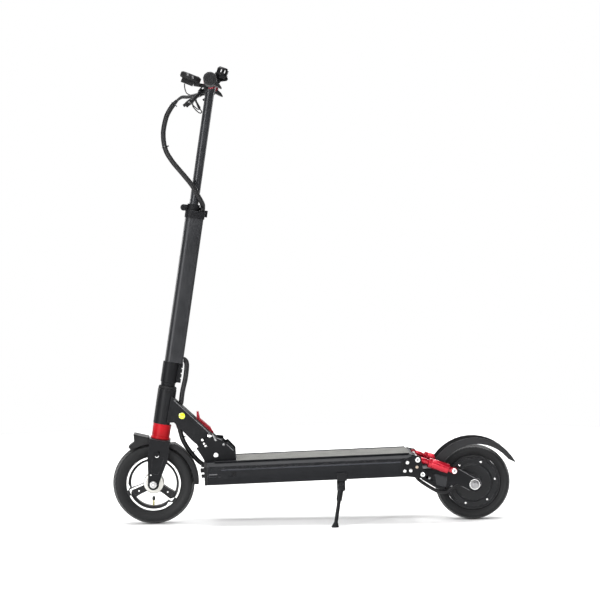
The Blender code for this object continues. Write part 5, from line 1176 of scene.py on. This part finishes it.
def make_sleeves():
    """The two lock sleeves, with a flange to pull and knurled finger rings."""
    for side, hand in HANDS.items():
        source = f"{hand}_bar_sleeve"
        low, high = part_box(source)
        half = (high.y - low.y) / 2
        outer = (high.z - low.z) / 2
        rise = 0.0034
        ring = [(outer - 0.0006, -half), (SLEEVE_BORE, -half), (SLEEVE_BORE, half), (outer - 0.0006, half)]
        ring += [(outer, half - 0.001)]
        for k in range(3):
            y = half - 0.003 - 0.0052 * k
            ring += [(outer, y), (outer + rise, y - 0.0008), (outer + rise, y - 0.0026), (outer, y - 0.0034)]
        ring += [(outer, -half + 0.001)]

        def knurl(radius, height, angle, edge=outer + rise):
            return 0.0003 * cos(36 * angle) if radius > edge - 0.0004 else 0.0

        mesh = lathe([(r, side * y) for r, y in ring], 144, True, relief=knurl)
        way = Matrix.Translation(middle(source)) @ ALONG_Y
        piece(f"{source}_rings", mesh, BODY_OF[source], RED_DEEP, way, (source,), 40)


def make_cockpit():
    """The display's keys and the plugs of the grips."""
    body = BODY_OF["display_housing"]
    for k, (x, z) in enumerate(((-0.3215, 1.1875), (-0.308, 1.18))):
        way = facing(*skin("display_housing", x, z, -1))
        key = slab([(-0.0026, -0.004), (0.0026, -0.004), (0.0026, 0.004), (-0.0026, 0.004)], 0.0016)
        piece(f"display_key_{k}", key, body, GREY_KEY, way, bevel=0.0006)
    grip_end = abs(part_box("left_grip")[0].y)
    plug = [
        (0, -0.001), (0.0036, -0.001), (0.0042, 0.0004), (0.009, 0.0008), (0.0132, 0.0006), (0.0144, 0.0),
        (0, -0.0014),
    ]
    for side, hand in HANDS.items():
        source = f"{hand}_grip"
        spot = Vector((-0.259, side * grip_end, 1.158))
        way = facing(spot, (0, side, 0))
        piece(f"{source}_plug", lathe(plug, 64), BODY_OF[source], PLASTIC, way)


def make_thin_cables():
    """The brake cables with their boots and adjusters, and the display's cable."""
    loop = [
        (-0.299, -0.14, 1.115), (-0.2955, -0.139, 1.104), (-0.2905, -0.137, 1.097), (-0.2868, -0.134, 1.0915),
        (-0.289, -0.13, 1.0868), (-0.2955, -0.126, 1.089), (-0.304, -0.122, 1.097), (-0.31, -0.112, 1.106),
        (-0.307, -0.09, 1.118), (-0.296, -0.06, 1.126), (-0.288, -0.03, 1.127), (-0.283, -0.008, 1.129),
    ]
    for side, word in HANDS.items():
        route = flowing([(x, y * -side, z) for x, y, z in loop], 8)
        mesh = tube(route, BRAKE_CABLE_R, 10)
        made = piece(f"{word}_brake_cable", mesh, None, JACKET, angle=40)
        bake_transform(made)
        boot = flowing([(x, y * -side, z) for x, y, z in loop[:3]], 6)
        taper = tube(boot, 0.003, 14, lambda s: 1.0 - 0.35 * s)
        piece(f"{word}_cable_boot", taper, f"{word}_bar", PLASTIC)
        knob = [(0, 0.0), (0.003, 0.0), (0.0034, 0.001), (0.0034, 0.0048), (0.0028, 0.0056), (0, 0.0056)]
        spot = Vector((-0.2818, side * 0.15, 1.1262))
        way = facing(spot, (0.45, 0, -0.9))
        piece(f"{word}_adjuster", lathe(knob, 24), f"{word}_bar", PLASTIC, way)
    lead = [
        (-0.331, 0.1, 1.164), (-0.3306, 0.096, 1.154), (-0.3275, 0.08, 1.143), (-0.322, 0.055, 1.135),
        (-0.31, 0.03, 1.13), (-0.295, 0.012, 1.128),
    ]
    lead = tube(flowing(lead, 8), BRAKE_CABLE_R, 10)
    made = piece("display_cable", lead, None, JACKET, angle=40)
    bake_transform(made)


make_camera()
make_floor()
make_light()
make_front_wheel()
make_rear_wheel()
dress_all()
make_boot()
make_spring()
make_loom()
make_cables()
make_neck_hardware()
make_rear_hardware()
make_deck_details()
make_sleeves()
make_cockpit()
make_thin_cables()
